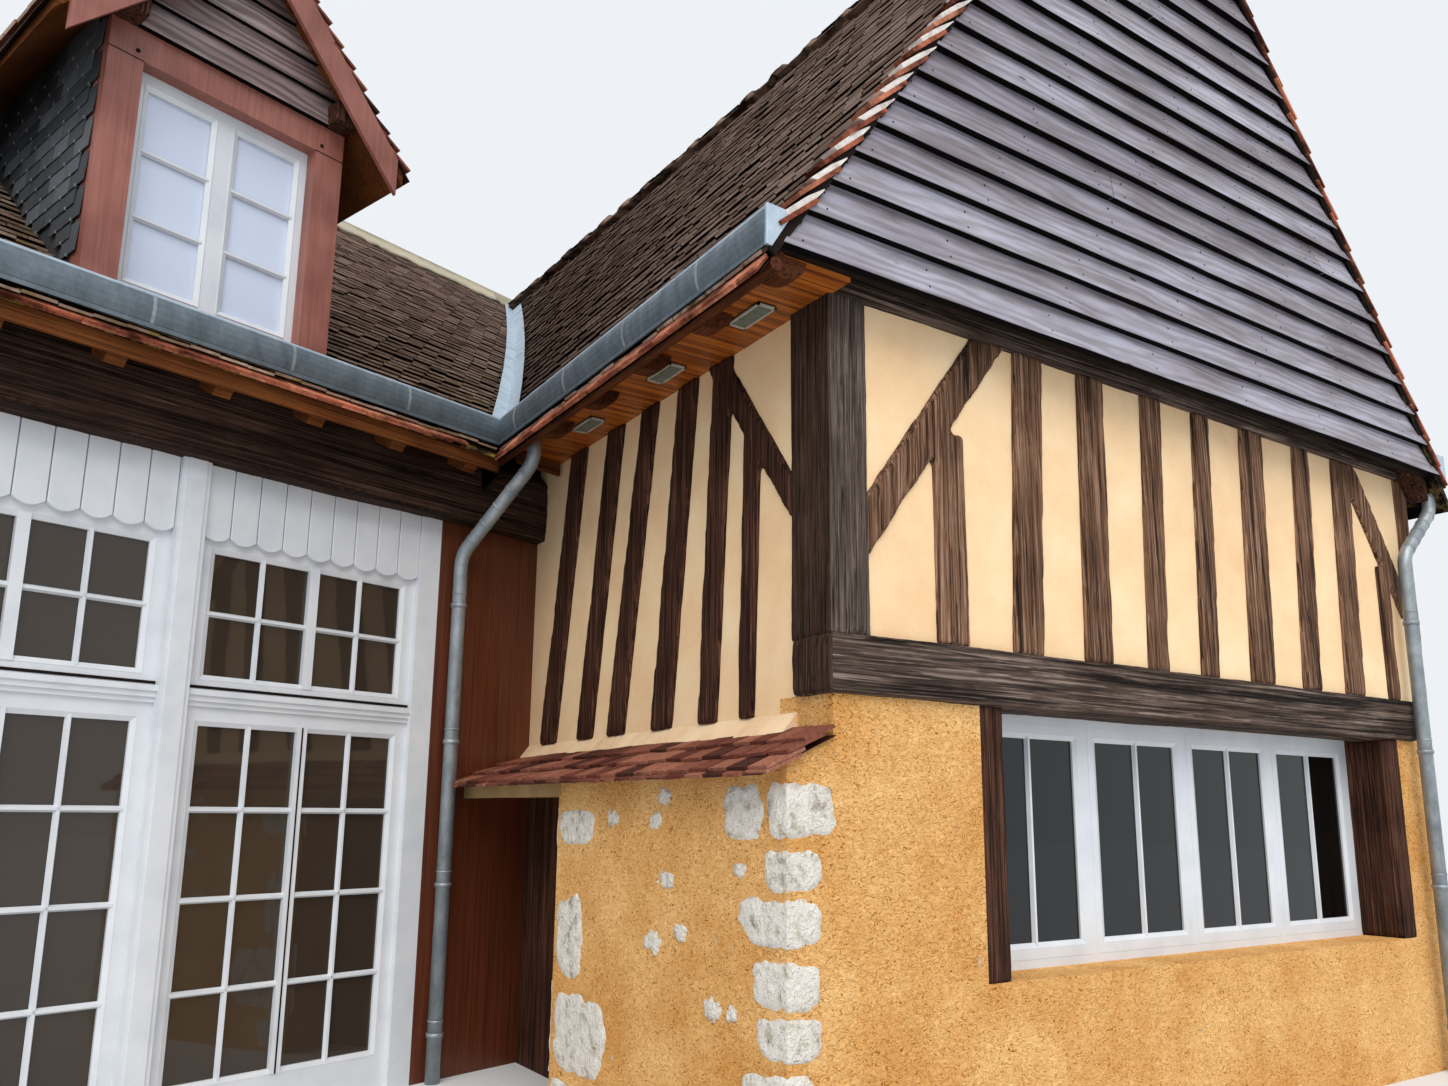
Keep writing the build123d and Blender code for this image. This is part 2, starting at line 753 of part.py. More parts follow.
with BuildPart() as corner_panel:
    wing_block(right_jamb, along_at(timber_wall, joinery_back + panel_thick), joinery_back,
               joinery_back + panel_thick, 0, left_beam_bottom)
    block(timber_wall, far, 0, far, 0, far, Mode.SUBTRACT)
save(corner_panel, "corner_panel")

# Each bay: a tall light and a light over the transom, in one frame
frame_front = joinery_back + frame_set_back
first_bay = right_jamb - joinery_post - bay_width / 2
bay_middles = [first_bay, first_bay - joinery_post - bay_width]
half_bay = bay_width / 2 - bay_stile
bay_lights = ((leaf_foot, transom_foot - bay_rail - bay_stile),
              (transom_foot + bay_stile, valance_foot - bay_stile))
with BuildPart() as bay_frames:
    for middle in bay_middles:
        wing_block(middle - bay_width / 2, middle + bay_width / 2, frame_front, frame_front + frame_depth,
                   0, left_beam_bottom)
        for low, high in bay_lights:
            wing_block(middle - half_bay, middle + half_bay, joinery_back, joinery_back + joinery_depth,
                       low, high, Mode.SUBTRACT)
    add(joinery_posts.part)
save(bay_frames, "bay_joinery")

with BuildPart() as bay_glass:
    for middle in bay_middles:
        for low, high in bay_lights:
            wing_block(middle - half_bay, middle + half_bay, frame_front + frame_depth / 2,
                       frame_front + frame_depth / 2 + glass_thick, low, high)
save(bay_glass, "bay_glass")

with BuildPart() as valance:
    step = bay_width / valance_boards
    for middle in bay_middles:
        left = middle - bay_width / 2
        scallops = []
        for number in range(valance_boards):
            for share in range(4):
                drop = valance_scallop * sin(radians(45 * share))
                scallops.append((left + step * (number + share / 4), valance_foot - drop))
        scallops.append((left + bay_width, valance_foot))
        add(wing_prism(scallops + [(left + bay_width, left_beam_bottom), (left, left_beam_bottom)],
                       frame_front - valance_thick, frame_front))
save(valance, "valance")

with BuildPart() as attic_floor_node:
    inside = beam_front + left_beam_depth
    add(floor_prism([wing_plan(left_bay_end, inside), plan(timber_wall, depth_at(timber_wall, inside)),
                     plan(timber_wall, depth_at(timber_wall, party_back)),
                     wing_plan(left_bay_end, party_back)], attic_top - attic_floor, attic_top))
    add(upper_floor.part)
save(attic_floor_node, "upper_floors")

with BuildPart() as party_wall_left:
    add(section_prism([(beam_front, 0), (party_back, 0), (party_back, ridge_top + party_rise),
                       (beam_front, left_line(beam_front) + party_rise)], left_end, left_bay_end))
save(party_wall_left, "party_wall_left")

# Left wing's roof, with a well behind the dormer
well_left = dormer_middle - dormer_width / 2 + dormer_cheek
well_right = dormer_middle + dormer_width / 2 - dormer_cheek
inside_dormer = dormer_face + dormer_post_depth
with BuildPart() as left_deck:
    points = [(beam_front, left_line(beam_front) - left_deck_drop), (party_back, ridge_top - left_deck_drop),
              (party_back, ridge_top - left_tile_drop), (beam_front, left_line(beam_front) - left_tile_drop)]
    add(section_prism(points, left_bay_end, far))
    add(left_side, mode=Mode.INTERSECT)
    wing_block(well_left, well_right, inside_dormer, dormer_well, 0, far, Mode.SUBTRACT)
    add(gable_deck_left.part, mode=Mode.SUBTRACT)
    add(left_beam.part, mode=Mode.SUBTRACT)
save(left_deck, "left_deck")

with BuildPart() as left_tiles:
    points = [(left_eaves_back, left_eaves_level - left_tile_drop), (party_back, ridge_top - left_tile_drop),
              (party_back, ridge_top), (left_eaves_back, left_eaves_level)]
    add(section_prism(points, left_bay_end, far))
    add(left_side, mode=Mode.INTERSECT)
    wing_block(well_left, well_right, inside_dormer, dormer_well, 0, far, Mode.SUBTRACT)
    add(gable_tiles_left.part, mode=Mode.SUBTRACT)
save(left_tiles, "left_tiles")

# Left wing's eaves: a fascia board under the tiles, and tails in front of the beam
with BuildPart() as left_fascia_board:
    front_edge = left_eaves_back + left_fascia
    points = [(front_edge, left_line(front_edge) - left_tile_drop - left_fascia_height),
              (front_edge + left_fascia, left_line(front_edge) - left_tile_drop - left_fascia_height),
              (front_edge + left_fascia, left_line(front_edge + left_fascia) - left_tile_drop),
              (front_edge, left_line(front_edge) - left_tile_drop)]
    add(section_prism(points, left_bay_end, far))
    add(left_side, mode=Mode.INTERSECT)
    add(gable_tiles_left.part, mode=Mode.SUBTRACT)
    add(eaves_log.part, mode=Mode.SUBTRACT)

with BuildPart() as corner_fascia:
    wing_block(along_at(inner_pipe_top[0], front_edge), along_at(0, front_edge), front_edge,
               front_edge + left_fascia, soffit_level - left_fascia_height, soffit_level)
    block(-stud_proud, far, 0, far, 0, far, Mode.SUBTRACT)

with BuildPart() as left_tails:
    tip = left_eaves_back + 2 * left_fascia
    under = left_line(tip) - left_tile_drop
    outline = [(tip, under), (tip, under - left_fascia_height),
               (tip + left_tail_cut, under - left_fascia_height - left_tail_cut),
               (beam_front, left_beam_top - left_tail_cut),
               (beam_front, left_line(beam_front) - left_tile_drop)]
    for number in range(left_tail_count):
        place = left_tail_first - number * left_tail_spacing
        add(section_prism(outline, place - left_tail_width / 2, place + left_tail_width / 2))

with BuildPart() as left_eaves:
    add(left_fascia_board.part)
    add(corner_fascia.part)
    add(left_tails.part)
save(left_eaves, "left_eaves")

# Zinc gutters lying on the slopes: an upright front and a sole under the tiles' first courses
def gutter_foot(v, side):
    """Where a gutter's upright front stands on the gable wing's slope at a depth."""
    edge = boards_left - eaves_run if side < 0 else boards_right + eaves_run
    return edge - side * gutter_foot_rise / slope


def gutter_sole(low, high):
    """Sheet lying on both slopes of the gable wing between two heights."""
    with BuildPart() as sheet:
        add(both_slopes(tile_rise, tile_rise + zinc / cos(radians(roof_pitch))))
        block(-far, far, -far, far, high, far, Mode.SUBTRACT)
        block(-far, far, -far, far, 0, low, Mode.SUBTRACT)
    return sheet.part


foot = left_eaves_level + gutter_foot_rise
with BuildPart() as side_gutter:
    stand = gutter_foot(0, -1)
    block(stand - zinc, stand, verge, far / 4, foot, gutter_top)
    add(gable_tiles_left.part, mode=Mode.SUBTRACT)
    add(gutter_sole(foot, foot + gutter_sole_rise))
    block(ridge_front, far, -far, far, 0, far, Mode.SUBTRACT)
    add(gable_side, mode=Mode.INTERSECT)

with BuildPart() as right_gutter:
    stand = gutter_foot(0, 1)
    block(stand, stand + zinc, verge, far, foot, gutter_top)
    add(gable_tiles_right.part, mode=Mode.SUBTRACT)
    add(gutter_sole(foot, foot + gutter_sole_rise))
    block(-far, ridge_front, -far, far, 0, far, Mode.SUBTRACT)
    add(behind_party, mode=Mode.SUBTRACT)

with BuildPart() as left_gutter:
    foot_back = left_eaves_back + gutter_foot_rise / left_slope
    sole_back = foot_back + gutter_sole_rise / left_slope
    sole = zinc * 1.3
    points = [(foot_back, left_line(foot_back)), (sole_back, left_line(sole_back)),
              (sole_back, left_line(sole_back) + sole), (foot_back, left_line(foot_back) + sole)]
    add(section_prism(points, left_bay_end, far))
    points = [(foot_back - zinc, left_line(foot_back)), (foot_back, left_line(foot_back)),
              (foot_back, gutter_top), (foot_back - zinc, gutter_top)]
    add(section_prism(points, left_bay_end, far))
    add(left_side, mode=Mode.INTERSECT)
    add(side_gutter.part, mode=Mode.SUBTRACT)
    add(gable_tiles_left.part, mode=Mode.SUBTRACT)
    wing_block(dormer_middle - dormer_width / 2 - seat, dormer_middle + dormer_width / 2 + seat,
               dormer_face - seat, 2 * dormer_face, 0, far, Mode.SUBTRACT)

with BuildPart() as gutters:
    add(side_gutter.part)
    add(left_gutter.part)
    add(right_gutter.part)
save(gutters, "gutters")

# Zinc over the valley, lying on both tiled slopes
with BuildPart() as valley_strip:
    spots = [valley_point(gutter_top + (ridge_top - gutter_top) * step / 6) for step in range(7)]
    with BuildSketch(Plane.XY):
        with BuildLine():
            Polyline(*([plan(u - valley_half, v) for u, v in spots]
                       + [plan(u + valley_half, v) for u, v in reversed(spots)]), close=True)
        make_face()
    extrude(amount=far)
    add(section_prism([(0, left_line(0)), (far, left_line(far)), (far, left_line(far) + zinc * 2),
                       (0, left_line(0) + zinc * 2)], -far / 2, far), mode=Mode.INTERSECT)
    add(gable_side, mode=Mode.SUBTRACT)
    add(behind_party, mode=Mode.SUBTRACT)

with BuildPart() as valley_right:
    with BuildSketch(Plane.XY):
        with BuildLine():
            Polyline(*([plan(u - valley_half, v) for u, v in spots]
                       + [plan(u + valley_half, v) for u, v in reversed(spots)]), close=True)
        make_face()
    extrude(amount=far)
    add(both_slopes(tile_rise, tile_rise + zinc * 2), mode=Mode.INTERSECT)
    add(gable_side, mode=Mode.INTERSECT)
    add(behind_party, mode=Mode.SUBTRACT)
    add(ridge_cap.part, mode=Mode.SUBTRACT)
    add(valley_strip.part)
save(valley_right, "valley_zinc")

# Downpipes, with elbows of three short lengths
def elbowed(points):
    """A pipe's line with each corner cut to a short length."""
    line = [Vector(*points[0])]
    for before, corner, after in zip(points, points[1:], points[2:]):
        knee = Vector(*corner)
        for other in (before, after):
            line.append(knee + (Vector(*other) - knee).normalized() * elbow_cut)
    return line + [Vector(*points[-1])]


def pipe(points):
    """A round pipe along a line that starts downwards."""
    with BuildPart() as solid:
        with BuildLine():
            Polyline(*elbowed(points))
        with BuildSketch(Plane(origin=points[0], z_dir=(0, 0, -1))):
            Circle(pipe_radius)
        sweep(transition=Transition.RIGHT)
    return solid.part


with BuildPart() as downpipes:
    (x0, y0) = plan(wing_width + right_pipe_top[0], right_pipe_top[1])
    (x1, y1) = plan(wing_width + right_pipe_foot[0], right_pipe_foot[1])
    add(pipe([(x0, y0, pipe_head), (x0, y0, pipe_head - pipe_drop), (x1, y1, pipe_knee), (x1, y1, 0)]))
    add(gable_tiles_right.part, mode=Mode.SUBTRACT)
    (x0, y0), (x1, y1) = plan(*inner_pipe_top), wing_plan(*inner_pipe_foot)
    add(pipe([(x0, y0, soffit_level), (x0, y0, soffit_level - pipe_drop), (x1, y1, inner_pipe_knee),
              (x1, y1, 0)]))
save(downpipes, "downpipes")


# Dormer, standing on the left wing's roof behind the gutter
def dormer_line(offset):
    """Height of the dormer roof's tile bed at a distance from its middle."""
    return dormer_ridge - abs(offset) * dormer_slope


def dormer_layer(low, high, half, b0, b1):
    """A layer of the dormer's roof, over both slopes."""
    line = [(-half, dormer_line(half)), (0, dormer_ridge), (half, dormer_line(half))]
    points = [(dormer_middle + a, z + low) for a, z in line]
    points += [(dormer_middle + a, z + high) for a, z in reversed(line)]
    return wing_prism(points, b0, b1)


post_inner = dormer_width / 2 - dormer_post
with BuildPart() as dormer_frame:
    wing_block(dormer_middle - dormer_width / 2, dormer_middle + dormer_width / 2, dormer_face,
               dormer_face + dormer_post_depth, left_eaves_level, dormer_plate)
    wing_block(dormer_middle - post_inner, dormer_middle + post_inner, 0, far, dormer_sill, dormer_head,
               Mode.SUBTRACT)
    add(under_left_tiles, mode=Mode.SUBTRACT)
save(dormer_frame, "dormer_frame")

with BuildPart() as dormer_window:
    back = dormer_face + dormer_post_depth - frame_depth
    half_light = (post_inner - dormer_bar / 2) / 2 - dormer_bar / 2
    wing_block(dormer_middle - post_inner, dormer_middle + post_inner, back, back + frame_depth,
               dormer_sill, dormer_head)
    for side in (-1, 1):
        place = dormer_middle + side * (post_inner / 2)
        wing_block(place - half_light, place + half_light, 0, far, dormer_sill + dormer_bar,
                   dormer_head - dormer_bar, Mode.SUBTRACT)
    add(under_left_tiles, mode=Mode.SUBTRACT)
save(dormer_window, "dormer_window")

with BuildPart() as dormer_glass:
    for side in (-1, 1):
        place = dormer_middle + side * (post_inner / 2)
        wing_block(place - half_light, place + half_light, back + frame_depth / 2,
                   back + frame_depth / 2 + glass_thick, dormer_sill + dormer_bar, dormer_head - dormer_bar)
save(dormer_glass, "dormer_glass")

with BuildPart() as dormer_deck:
    add(dormer_layer(-dormer_deck_drop, 0, dormer_half - dormer_deck_inset,
                     dormer_face - dormer_front_out + barge_thick, far / 2))
    add(under_left_tiles, mode=Mode.SUBTRACT)
save(dormer_deck, "dormer_deck")

with BuildPart() as dormer_tiles:
    add(dormer_layer(0, dormer_tile_rise, dormer_half, dormer_face - dormer_front_out, far / 2))
    add(under_left_tiles, mode=Mode.SUBTRACT)
save(dormer_tiles, "dormer_tiles")

with BuildPart() as dormer_cheeks:
    reach = left_eaves_back + (dormer_plate - left_eaves_level) / left_slope
    points = [(inside_dormer, left_line(inside_dormer)), (reach, dormer_plate), (inside_dormer, dormer_plate)]
    for side in (-1, 1):
        edge = dormer_middle + side * (dormer_width / 2 - dormer_cheek / 2)
        add(section_prism(points, edge - dormer_cheek / 2, edge + dormer_cheek / 2))
save(dormer_cheeks, "dormer_cheeks")

with BuildPart() as dormer_purlins:
    for side in (-1, 1):
        edge = dormer_middle + side * (dormer_width / 2 - purlin_side / 2)
        wing_block(edge - purlin_side / 2, edge + purlin_side / 2, dormer_face - purlin_out, reach,
                   dormer_plate, dormer_plate + purlin_side)
    add(dormer_deck.part, mode=Mode.SUBTRACT)
    add(under_left_tiles, mode=Mode.SUBTRACT)
save(dormer_purlins, "dormer_purlins")

with BuildPart() as dormer_gable:
    wing_block(dormer_middle - dormer_width / 2, dormer_middle + dormer_width / 2, dormer_face,
               dormer_face + dormer_board, dormer_plate, dormer_ridge)
    add(dormer_layer(-dormer_deck_drop, far, far / 10, 0, far), mode=Mode.SUBTRACT)
    add(dormer_purlins.part, mode=Mode.SUBTRACT)
save(dormer_gable, "dormer_gable")

with BuildPart() as dormer_barges:
    add(dormer_layer(-barge_drop, 0, barge_half, dormer_face - dormer_front_out,
                     dormer_face - dormer_front_out + barge_thick))
save(dormer_barges, "dormer_barges")
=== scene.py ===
import math
import random

import bmesh
import bpy
from bpy.props import FloatProperty, PointerProperty
from mathutils import Euler, Matrix, Vector, noise
from mathutils.bvhtree import BVHTree


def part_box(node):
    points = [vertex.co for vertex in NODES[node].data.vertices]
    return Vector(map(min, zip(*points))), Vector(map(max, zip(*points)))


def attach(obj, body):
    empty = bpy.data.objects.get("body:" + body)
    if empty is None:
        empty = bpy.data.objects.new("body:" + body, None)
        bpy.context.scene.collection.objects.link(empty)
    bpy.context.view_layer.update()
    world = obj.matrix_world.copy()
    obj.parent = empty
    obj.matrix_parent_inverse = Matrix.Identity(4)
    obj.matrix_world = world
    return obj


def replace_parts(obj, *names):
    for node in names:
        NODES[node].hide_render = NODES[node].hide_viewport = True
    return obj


bl_info = {
    "name": "Half-timbered house",
    "version": (1, 0, 0),
    "blender": (4, 5, 0),
    "location": "3D View > Sidebar > House",
    "description": "Tiles, boards, timbers, joinery and finishes for a half-timbered house",
    "category": "Add Mesh",
}

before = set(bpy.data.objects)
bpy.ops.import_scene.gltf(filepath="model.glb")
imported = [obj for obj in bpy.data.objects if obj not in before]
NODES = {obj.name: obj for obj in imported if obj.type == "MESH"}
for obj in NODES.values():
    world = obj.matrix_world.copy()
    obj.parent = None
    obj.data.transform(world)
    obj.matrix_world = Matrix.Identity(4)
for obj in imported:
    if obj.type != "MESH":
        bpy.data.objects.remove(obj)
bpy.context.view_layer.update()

# Each wing has its own frame, in metres: x along its front, y into the house, z up. The gable wing's starts
# at its front left corner, and the left wing's is turned from it.
CORNER = Vector((-2.975, -0.225, 0.0))
WING_TURN = math.radians(18.25)
GABLE = Matrix.Translation(CORNER)
WING = GABLE @ Matrix.Rotation(WING_TURN, 4, "Z")
INWARD = WING.to_3x3() @ Vector((0, 1, 0))

# The gable's boarded triangle: its lower corners, foot, face and pitch.
BOARD_LEFT, BOARD_RIGHT, BOARD_FOOT, BOARD_PLANE = -0.49, 6.01, 4.545, -0.225
PITCH = math.radians(55.55)
BOARD_SLOPE = math.tan(PITCH)

# The roofs' edges: the gable wing's eaves and back, then the left wing's eaves, back, left end and slope.
EAVES_LEFT, EAVES_RIGHT, GABLE_BACK = -0.62, 6.14, 12.2
LEFT_EAVES, LEFT_BACK, LEFT_END, LEFT_SLOPE = 3.2, 9.38, -3.4, 0.797

# The dormer: its middle, half width, half opening, face, sill, head, plate and apex.
DORMER, DORMER_HALF, DORMER_LIGHT, DORMER_FACE = -1.605, 0.76, 0.56, 3.48
DORMER_SILL, DORMER_HEAD, DORMER_PLATE, DORMER_APEX = 4.8, 6.24, 6.44, 7.41

# The left wing's joinery: a bay's width and spacing, the first bay's right edge, the panels' face and top.
BAY, BAY_STEP, BAY_RIGHT, JOINERY_FACE, JOINERY_TOP = 1.56, 1.73, 0.28 - 0.17, 3.70, 3.95

# The side masonry stands out from the frame over it, and splays with depth; the left wing stops it.
MASONRY_OUT, SPLAY, MASONRY_END = 0.28, 0.0767, 3.65

# The gutters: height of the bead, and the front end.
GUTTER_TOP, GUTTER_END = 4.705, -0.262

FINISH = {}


# Shader and geometry nodes

def colour(code):
    """An sRGB hex colour as linear red, green, blue and full opacity."""
    parts = [int(code[i:i + 2], 16) / 255 for i in (0, 2, 4)]
    return tuple([c / 12.92 if c <= 0.04045 else ((c + 0.055) / 1.055) ** 2.4 for c in parts] + [1.0])


def put(tree, kind, feeds=None, **settings):
    """Add a node with its settings; feeds maps each input to a value or to the socket that drives it."""
    node = tree.nodes.new(kind)
    for name, value in settings.items():
        setattr(node, name, value)
    for key, value in (feeds or {}).items():
        if isinstance(value, bpy.types.NodeSocket):
            tree.links.new(value, node.inputs[key])
        else:
            node.inputs[key].default_value = value
    return node


def maths(tree, operation, first, second):
    """Two values joined by an operation."""
    return put(tree, "ShaderNodeMath", {0: first, 1: second}, operation=operation).outputs[0]


def triple(tree, feeds):
    """A vector of up to three values, by their places in it."""
    return put(tree, "ShaderNodeCombineXYZ", feeds).outputs[0]


def ramp(tree, factor, stops):
    """A colour ramp through (place, hex colour) stops."""
    stops = tuple(stops)
    node = put(tree, "ShaderNodeValToRGB", {"Fac": factor})
    while len(node.color_ramp.elements) < len(stops):
        node.color_ramp.elements.new(0.5)
    for element, (place, code) in zip(node.color_ramp.elements, stops):
        element.position = place
        element.color = colour(code)
    return node.outputs["Color"]


def mask(tree, factor, low, high):
    """A soft step of a value from low to high."""
    node = put(tree, "ShaderNodeMapRange", {"Value": factor, "From Min": low, "From Max": high})
    return node.outputs["Result"]


def blend(tree, kind, amount, first, second):
    """Two colours mixed by a factor; the second may be a hex colour."""
    second = colour(second) if isinstance(second, str) else second
    return put(tree, "ShaderNodeMix", {0: amount, 6: first, 7: second}, data_type="RGBA",
               blend_type=kind).outputs[2]


def attribute(tree, name):
    """A value that each point of the mesh carries."""
    return put(tree, "ShaderNodeAttribute", attribute_name=name).outputs["Fac"]


def height(tree):
    """Height over the ground."""
    place = put(tree, "ShaderNodeTexCoord").outputs["Object"]
    return put(tree, "ShaderNodeSeparateXYZ", {0: place}).outputs["Z"]


def coordinates(tree, size, turn=0.0):
    """Object coordinates in steps of size (metres, alike or along x, y, z), turned to a wing first."""
    steps = size if isinstance(size, tuple) else (size, size, size)
    place = put(tree, "ShaderNodeTexCoord").outputs["Object"]
    turned = put(tree, "ShaderNodeMapping", {"Vector": place, "Rotation": (0, 0, -turn)}).outputs[0]
    return put(tree, "ShaderNodeMapping", {"Vector": turned, "Scale": tuple(1 / s for s in steps)}).outputs[0]


def cloud(tree, size, turn=0.0, detail=4.0, rough=0.55, bend=0.0):
    """A noise pattern's value, in clouds of a size."""
    feeds = {"Vector": coordinates(tree, size, turn), "Scale": 1.0, "Detail": detail, "Roughness": rough,
             "Distortion": bend}
    return put(tree, "ShaderNodeTexNoise", feeds).outputs["Fac"]


def new_finish(key, name, rough, metal=0.0):
    """An empty finish, kept under a key: its node tree and its shader."""
    FINISH[key] = material = bpy.data.materials.new(name)
    material.use_nodes = True
    shader = material.node_tree.nodes["Principled BSDF"]
    shader.inputs["Roughness"].default_value = rough
    if rough > 0.6:
        # Dry, porous faces: no sheen at a low angle.
        shader.inputs["Specular IOR Level"].default_value = 0.1
    shader.inputs["Metallic"].default_value = metal
    return material.node_tree, shader


def paint(shader, tint):
    """A finish's colour, from a socket."""
    shader.id_data.links.new(tint, shader.inputs["Base Color"])


def relief(shader, value, depth, earlier=None):
    """Bump of a depth in metres from a height value, over an earlier bump."""
    feeds = {"Height": value, "Distance": depth, "Strength": 1.0}
    if earlier:
        feeds["Normal"] = earlier
    normal = put(shader.id_data, "ShaderNodeBump", feeds).outputs["Normal"]
    shader.id_data.links.new(normal, shader.inputs["Normal"])
    return normal


# Finishes

def timber(key, name, stops, grain="Z", turn=0.0, line=0.006, run=0.45, check=0.6, depth=0.003):
    """Sawn or hewn wood: fine grain, long drying checks and broad weathering along one direction."""
    tree, shader = new_finish(key, name, 0.72)
    along = {"X": (run, line, line), "Y": (line, run, line), "Z": (line, line, run)}[grain]
    fine = cloud(tree, along, turn, 5, bend=0.7)
    checks = cloud(tree, tuple(s * 3.5 for s in along), turn, rough=0.6, bend=0.5)
    broad = cloud(tree, 0.5, turn, 3)
    weathered = blend(tree, "MULTIPLY", mask(tree, broad, 0.35, 0.7), ramp(tree, fine, stops), "c2bbb4")
    dark = maths(tree, "MULTIPLY", mask(tree, checks, 0.42, 0.36), check)
    paint(shader, blend(tree, "MIX", dark, weathered, "150f0b"))
    relief(shader, mask(tree, checks, 0.34, 0.46), depth * 2.0, relief(shader, fine, depth * 0.5))


def weathered_boards(key, name, tones, turn=0.0):
    """Softwood boards under a grey film: cathedral grain and knots, each board from another plank."""
    tree, shader = new_finish(key, name, 0.42)
    tone = attribute(tree, "tone")
    plank = maths(tree, "MULTIPLY", tone, 41.0)
    shift = triple(tree, {0: plank, 2: plank})
    place = put(tree, "ShaderNodeVectorMath", {0: coordinates(tree, (1.5, 1.5, 0.2), turn), 1: shift},
                operation="ADD").outputs[0]
    rings = put(tree, "ShaderNodeTexWave", {"Vector": place, "Scale": 1.0, "Distortion": 14.0, "Detail": 5.0,
                                           "Detail Scale": 1.3}, bands_direction="Z").outputs["Fac"]
    fine = cloud(tree, (0.35, 0.35, 0.014), turn, bend=0.6)
    grained = blend(tree, "OVERLAY", 0.34, ramp(tree, rings, zip((0.0, 0.45, 0.9), tones)),
                    ramp(tree, fine, ((0.3, "606060"), (0.7, "a0a0a0"))))
    broad = cloud(tree, (0.8, 0.8, 0.16), turn, 3)
    worn = blend(tree, "MULTIPLY", mask(tree, broad, 0.35, 0.65), grained, "c6bbb8")
    aged = blend(tree, "MULTIPLY", mask(tree, tone, 1.0, 0.0), worn, "d2cdd0")
    spots = put(tree, "ShaderNodeTexVoronoi", {"Vector": coordinates(tree, (0.62, 0.62, 0.17), turn),
                                              "Scale": 1.0}).outputs["Distance"]
    paint(shader, blend(tree, "MIX", mask(tree, spots, 0.075, 0.045), aged, "4a4240"))
    relief(shader, fine, 0.0012, relief(shader, rings, 0.0012))


def mineral(key, name, stops, patch, grit, depth, rough):
    """Plaster, stone or mortar: patches of tone over a finer grit that also gives the relief."""
    tree, shader = new_finish(key, name, rough)
    patches = cloud(tree, patch, detail=5, rough=0.6)
    fine = cloud(tree, grit, rough=0.6)
    paint(shader, blend(tree, "OVERLAY", 0.25, ramp(tree, patches, stops),
                        ramp(tree, fine, ((0.3, "606060"), (0.7, "a8a8a8")))))
    relief(shader, patches, depth * 1.5, relief(shader, fine, depth))


def clay_tile(key, tones, soot_from, contrast, moss=None):
    """Hand-made clay tile: each fired differently, sooty in places, mossy up to a height, and with a painted
    highlight on its tails' ends.
    """
    tree, shader = new_finish(key, "fired_clay_" + key, 0.8)
    tone = attribute(tree, "tone")
    fired = ramp(tree, tone, zip((0.0, 0.25, 0.5, 0.75, 1.0), tones))
    soot = cloud(tree, (0.35, 0.35, 0.25), detail=5, rough=0.65)
    sooty = blend(tree, "MULTIPLY", mask(tree, soot, soot_from, soot_from + 0.2), fired, "635349")
    speck = cloud(tree, 0.02, rough=0.7)
    face = blend(tree, "OVERLAY", contrast, sooty, ramp(tree, speck, ((0.34, "202020"), (0.66, "c4c4c4"))))
    # The tails' ends carry a painted highlight: paler than the faces, where the sky would light them.
    ends = blend(tree, "MULTIPLY", mask(tree, soot, 0.5, 0.75),
                 ramp(tree, tone, ((0.0, "8c7465"), (0.5, "a68a79"), (1.0, "c2a795"))), "94847a")
    face = blend(tree, "MIX", attribute(tree, "tail"), face, ends)
    if moss:
        top, green = moss
        patches = mask(tree, cloud(tree, (0.1, 0.1, 0.08), detail=5, rough=0.7), 0.5, 0.62)
        growth = maths(tree, "MULTIPLY", mask(tree, height(tree), top, 4.6), patches)
        face = blend(tree, "MIX", growth, face, green)
    paint(shader, face)
    relief(shader, speck, 0.003)


def bare_wood_finishes():
    """Oak timbers, plain boards and weatherboards."""
    # Oak framing, stained near black and open-grained: dull, with long checks.
    timber("oak_upright", "dark_oak_upright", ((0.3, "1d1613"), (0.43, "4a3f38"), (0.56, "6b5e56"),
                                               (0.72, "8f8177")), line=0.009, run=0.5, check=0.7)
    timber("oak_level", "dark_oak_level",
           ((0.33, "1a1411"), (0.45, "43362f"), (0.55, "65554b"), (0.68, "968478")),
           "X", line=0.014, run=0.9, check=0.9, depth=0.009)
    # The sheltered faces of the corner, out of the rain, stay brown.
    timber("oak_lee", "brown_oak_lee",
           ((0.32, "170f0a"), (0.45, "3a2a20"), (0.56, "4c392d"), (0.7, "614a3c")),
           line=0.010, run=0.4)
    # The gable's studs have lost their stain to the sun.
    timber("oak_stud", "brown_oak_stud",
           ((0.33, "2e1d13"), (0.45, "644835"), (0.56, "89664f"), (0.68, "ad8b74")),
           line=0.013, run=0.7, check=0.85, depth=0.006)
    # The sheltered side frame and the left wing's beam keep a redder stain.
    timber("oak_side", "brown_oak_upright", ((0.34, "1c110c"), (0.46, "3d261c"), (0.56, "573729"),
                                             (0.68, "74503e")), line=0.011, run=0.7, depth=0.004)
    timber("oak_lintel", "oak_lintel",
           ((0.34, "170f0b"), (0.46, "33241c"), (0.56, "47342a"), (0.7, "614a3d")),
           "X", WING_TURN, line=0.014, run=1.0, check=0.85, depth=0.009)
    # Sawn eaves timbers and boards: warm brown and close-grained.
    timber("oak_eaves", "brown_oak_along", ((0.2, "2a1409"), (0.5, "5d331c"), (0.8, "7a4524")), "Y")
    timber("oak_eaves_left", "stained_eaves_board", ((0.2, "3a1d0e"), (0.5, "74421f"), (0.8, "8f5329")), "X",
           WING_TURN, check=0.3)
    timber("floor_boards", "plain_floor_boards", ((0.2, "5b4530"), (0.5, "7a5f43"), (0.8, "8c6f50")), "X")
    # Softwood weatherboards, stained grey-brown: a satin film with visible cathedral grain; their pale bluish
    # tones also hold a painted sky sheen.
    weathered_boards("boards", "stained_weatherboard_painted_sheen", ("a39fa6", "b3b0b9", "c0bec8"))
    weathered_boards("boards_dormer", "stained_dormer_board", ("8d7876", "b09b99", "c8b5b2"), WING_TURN)


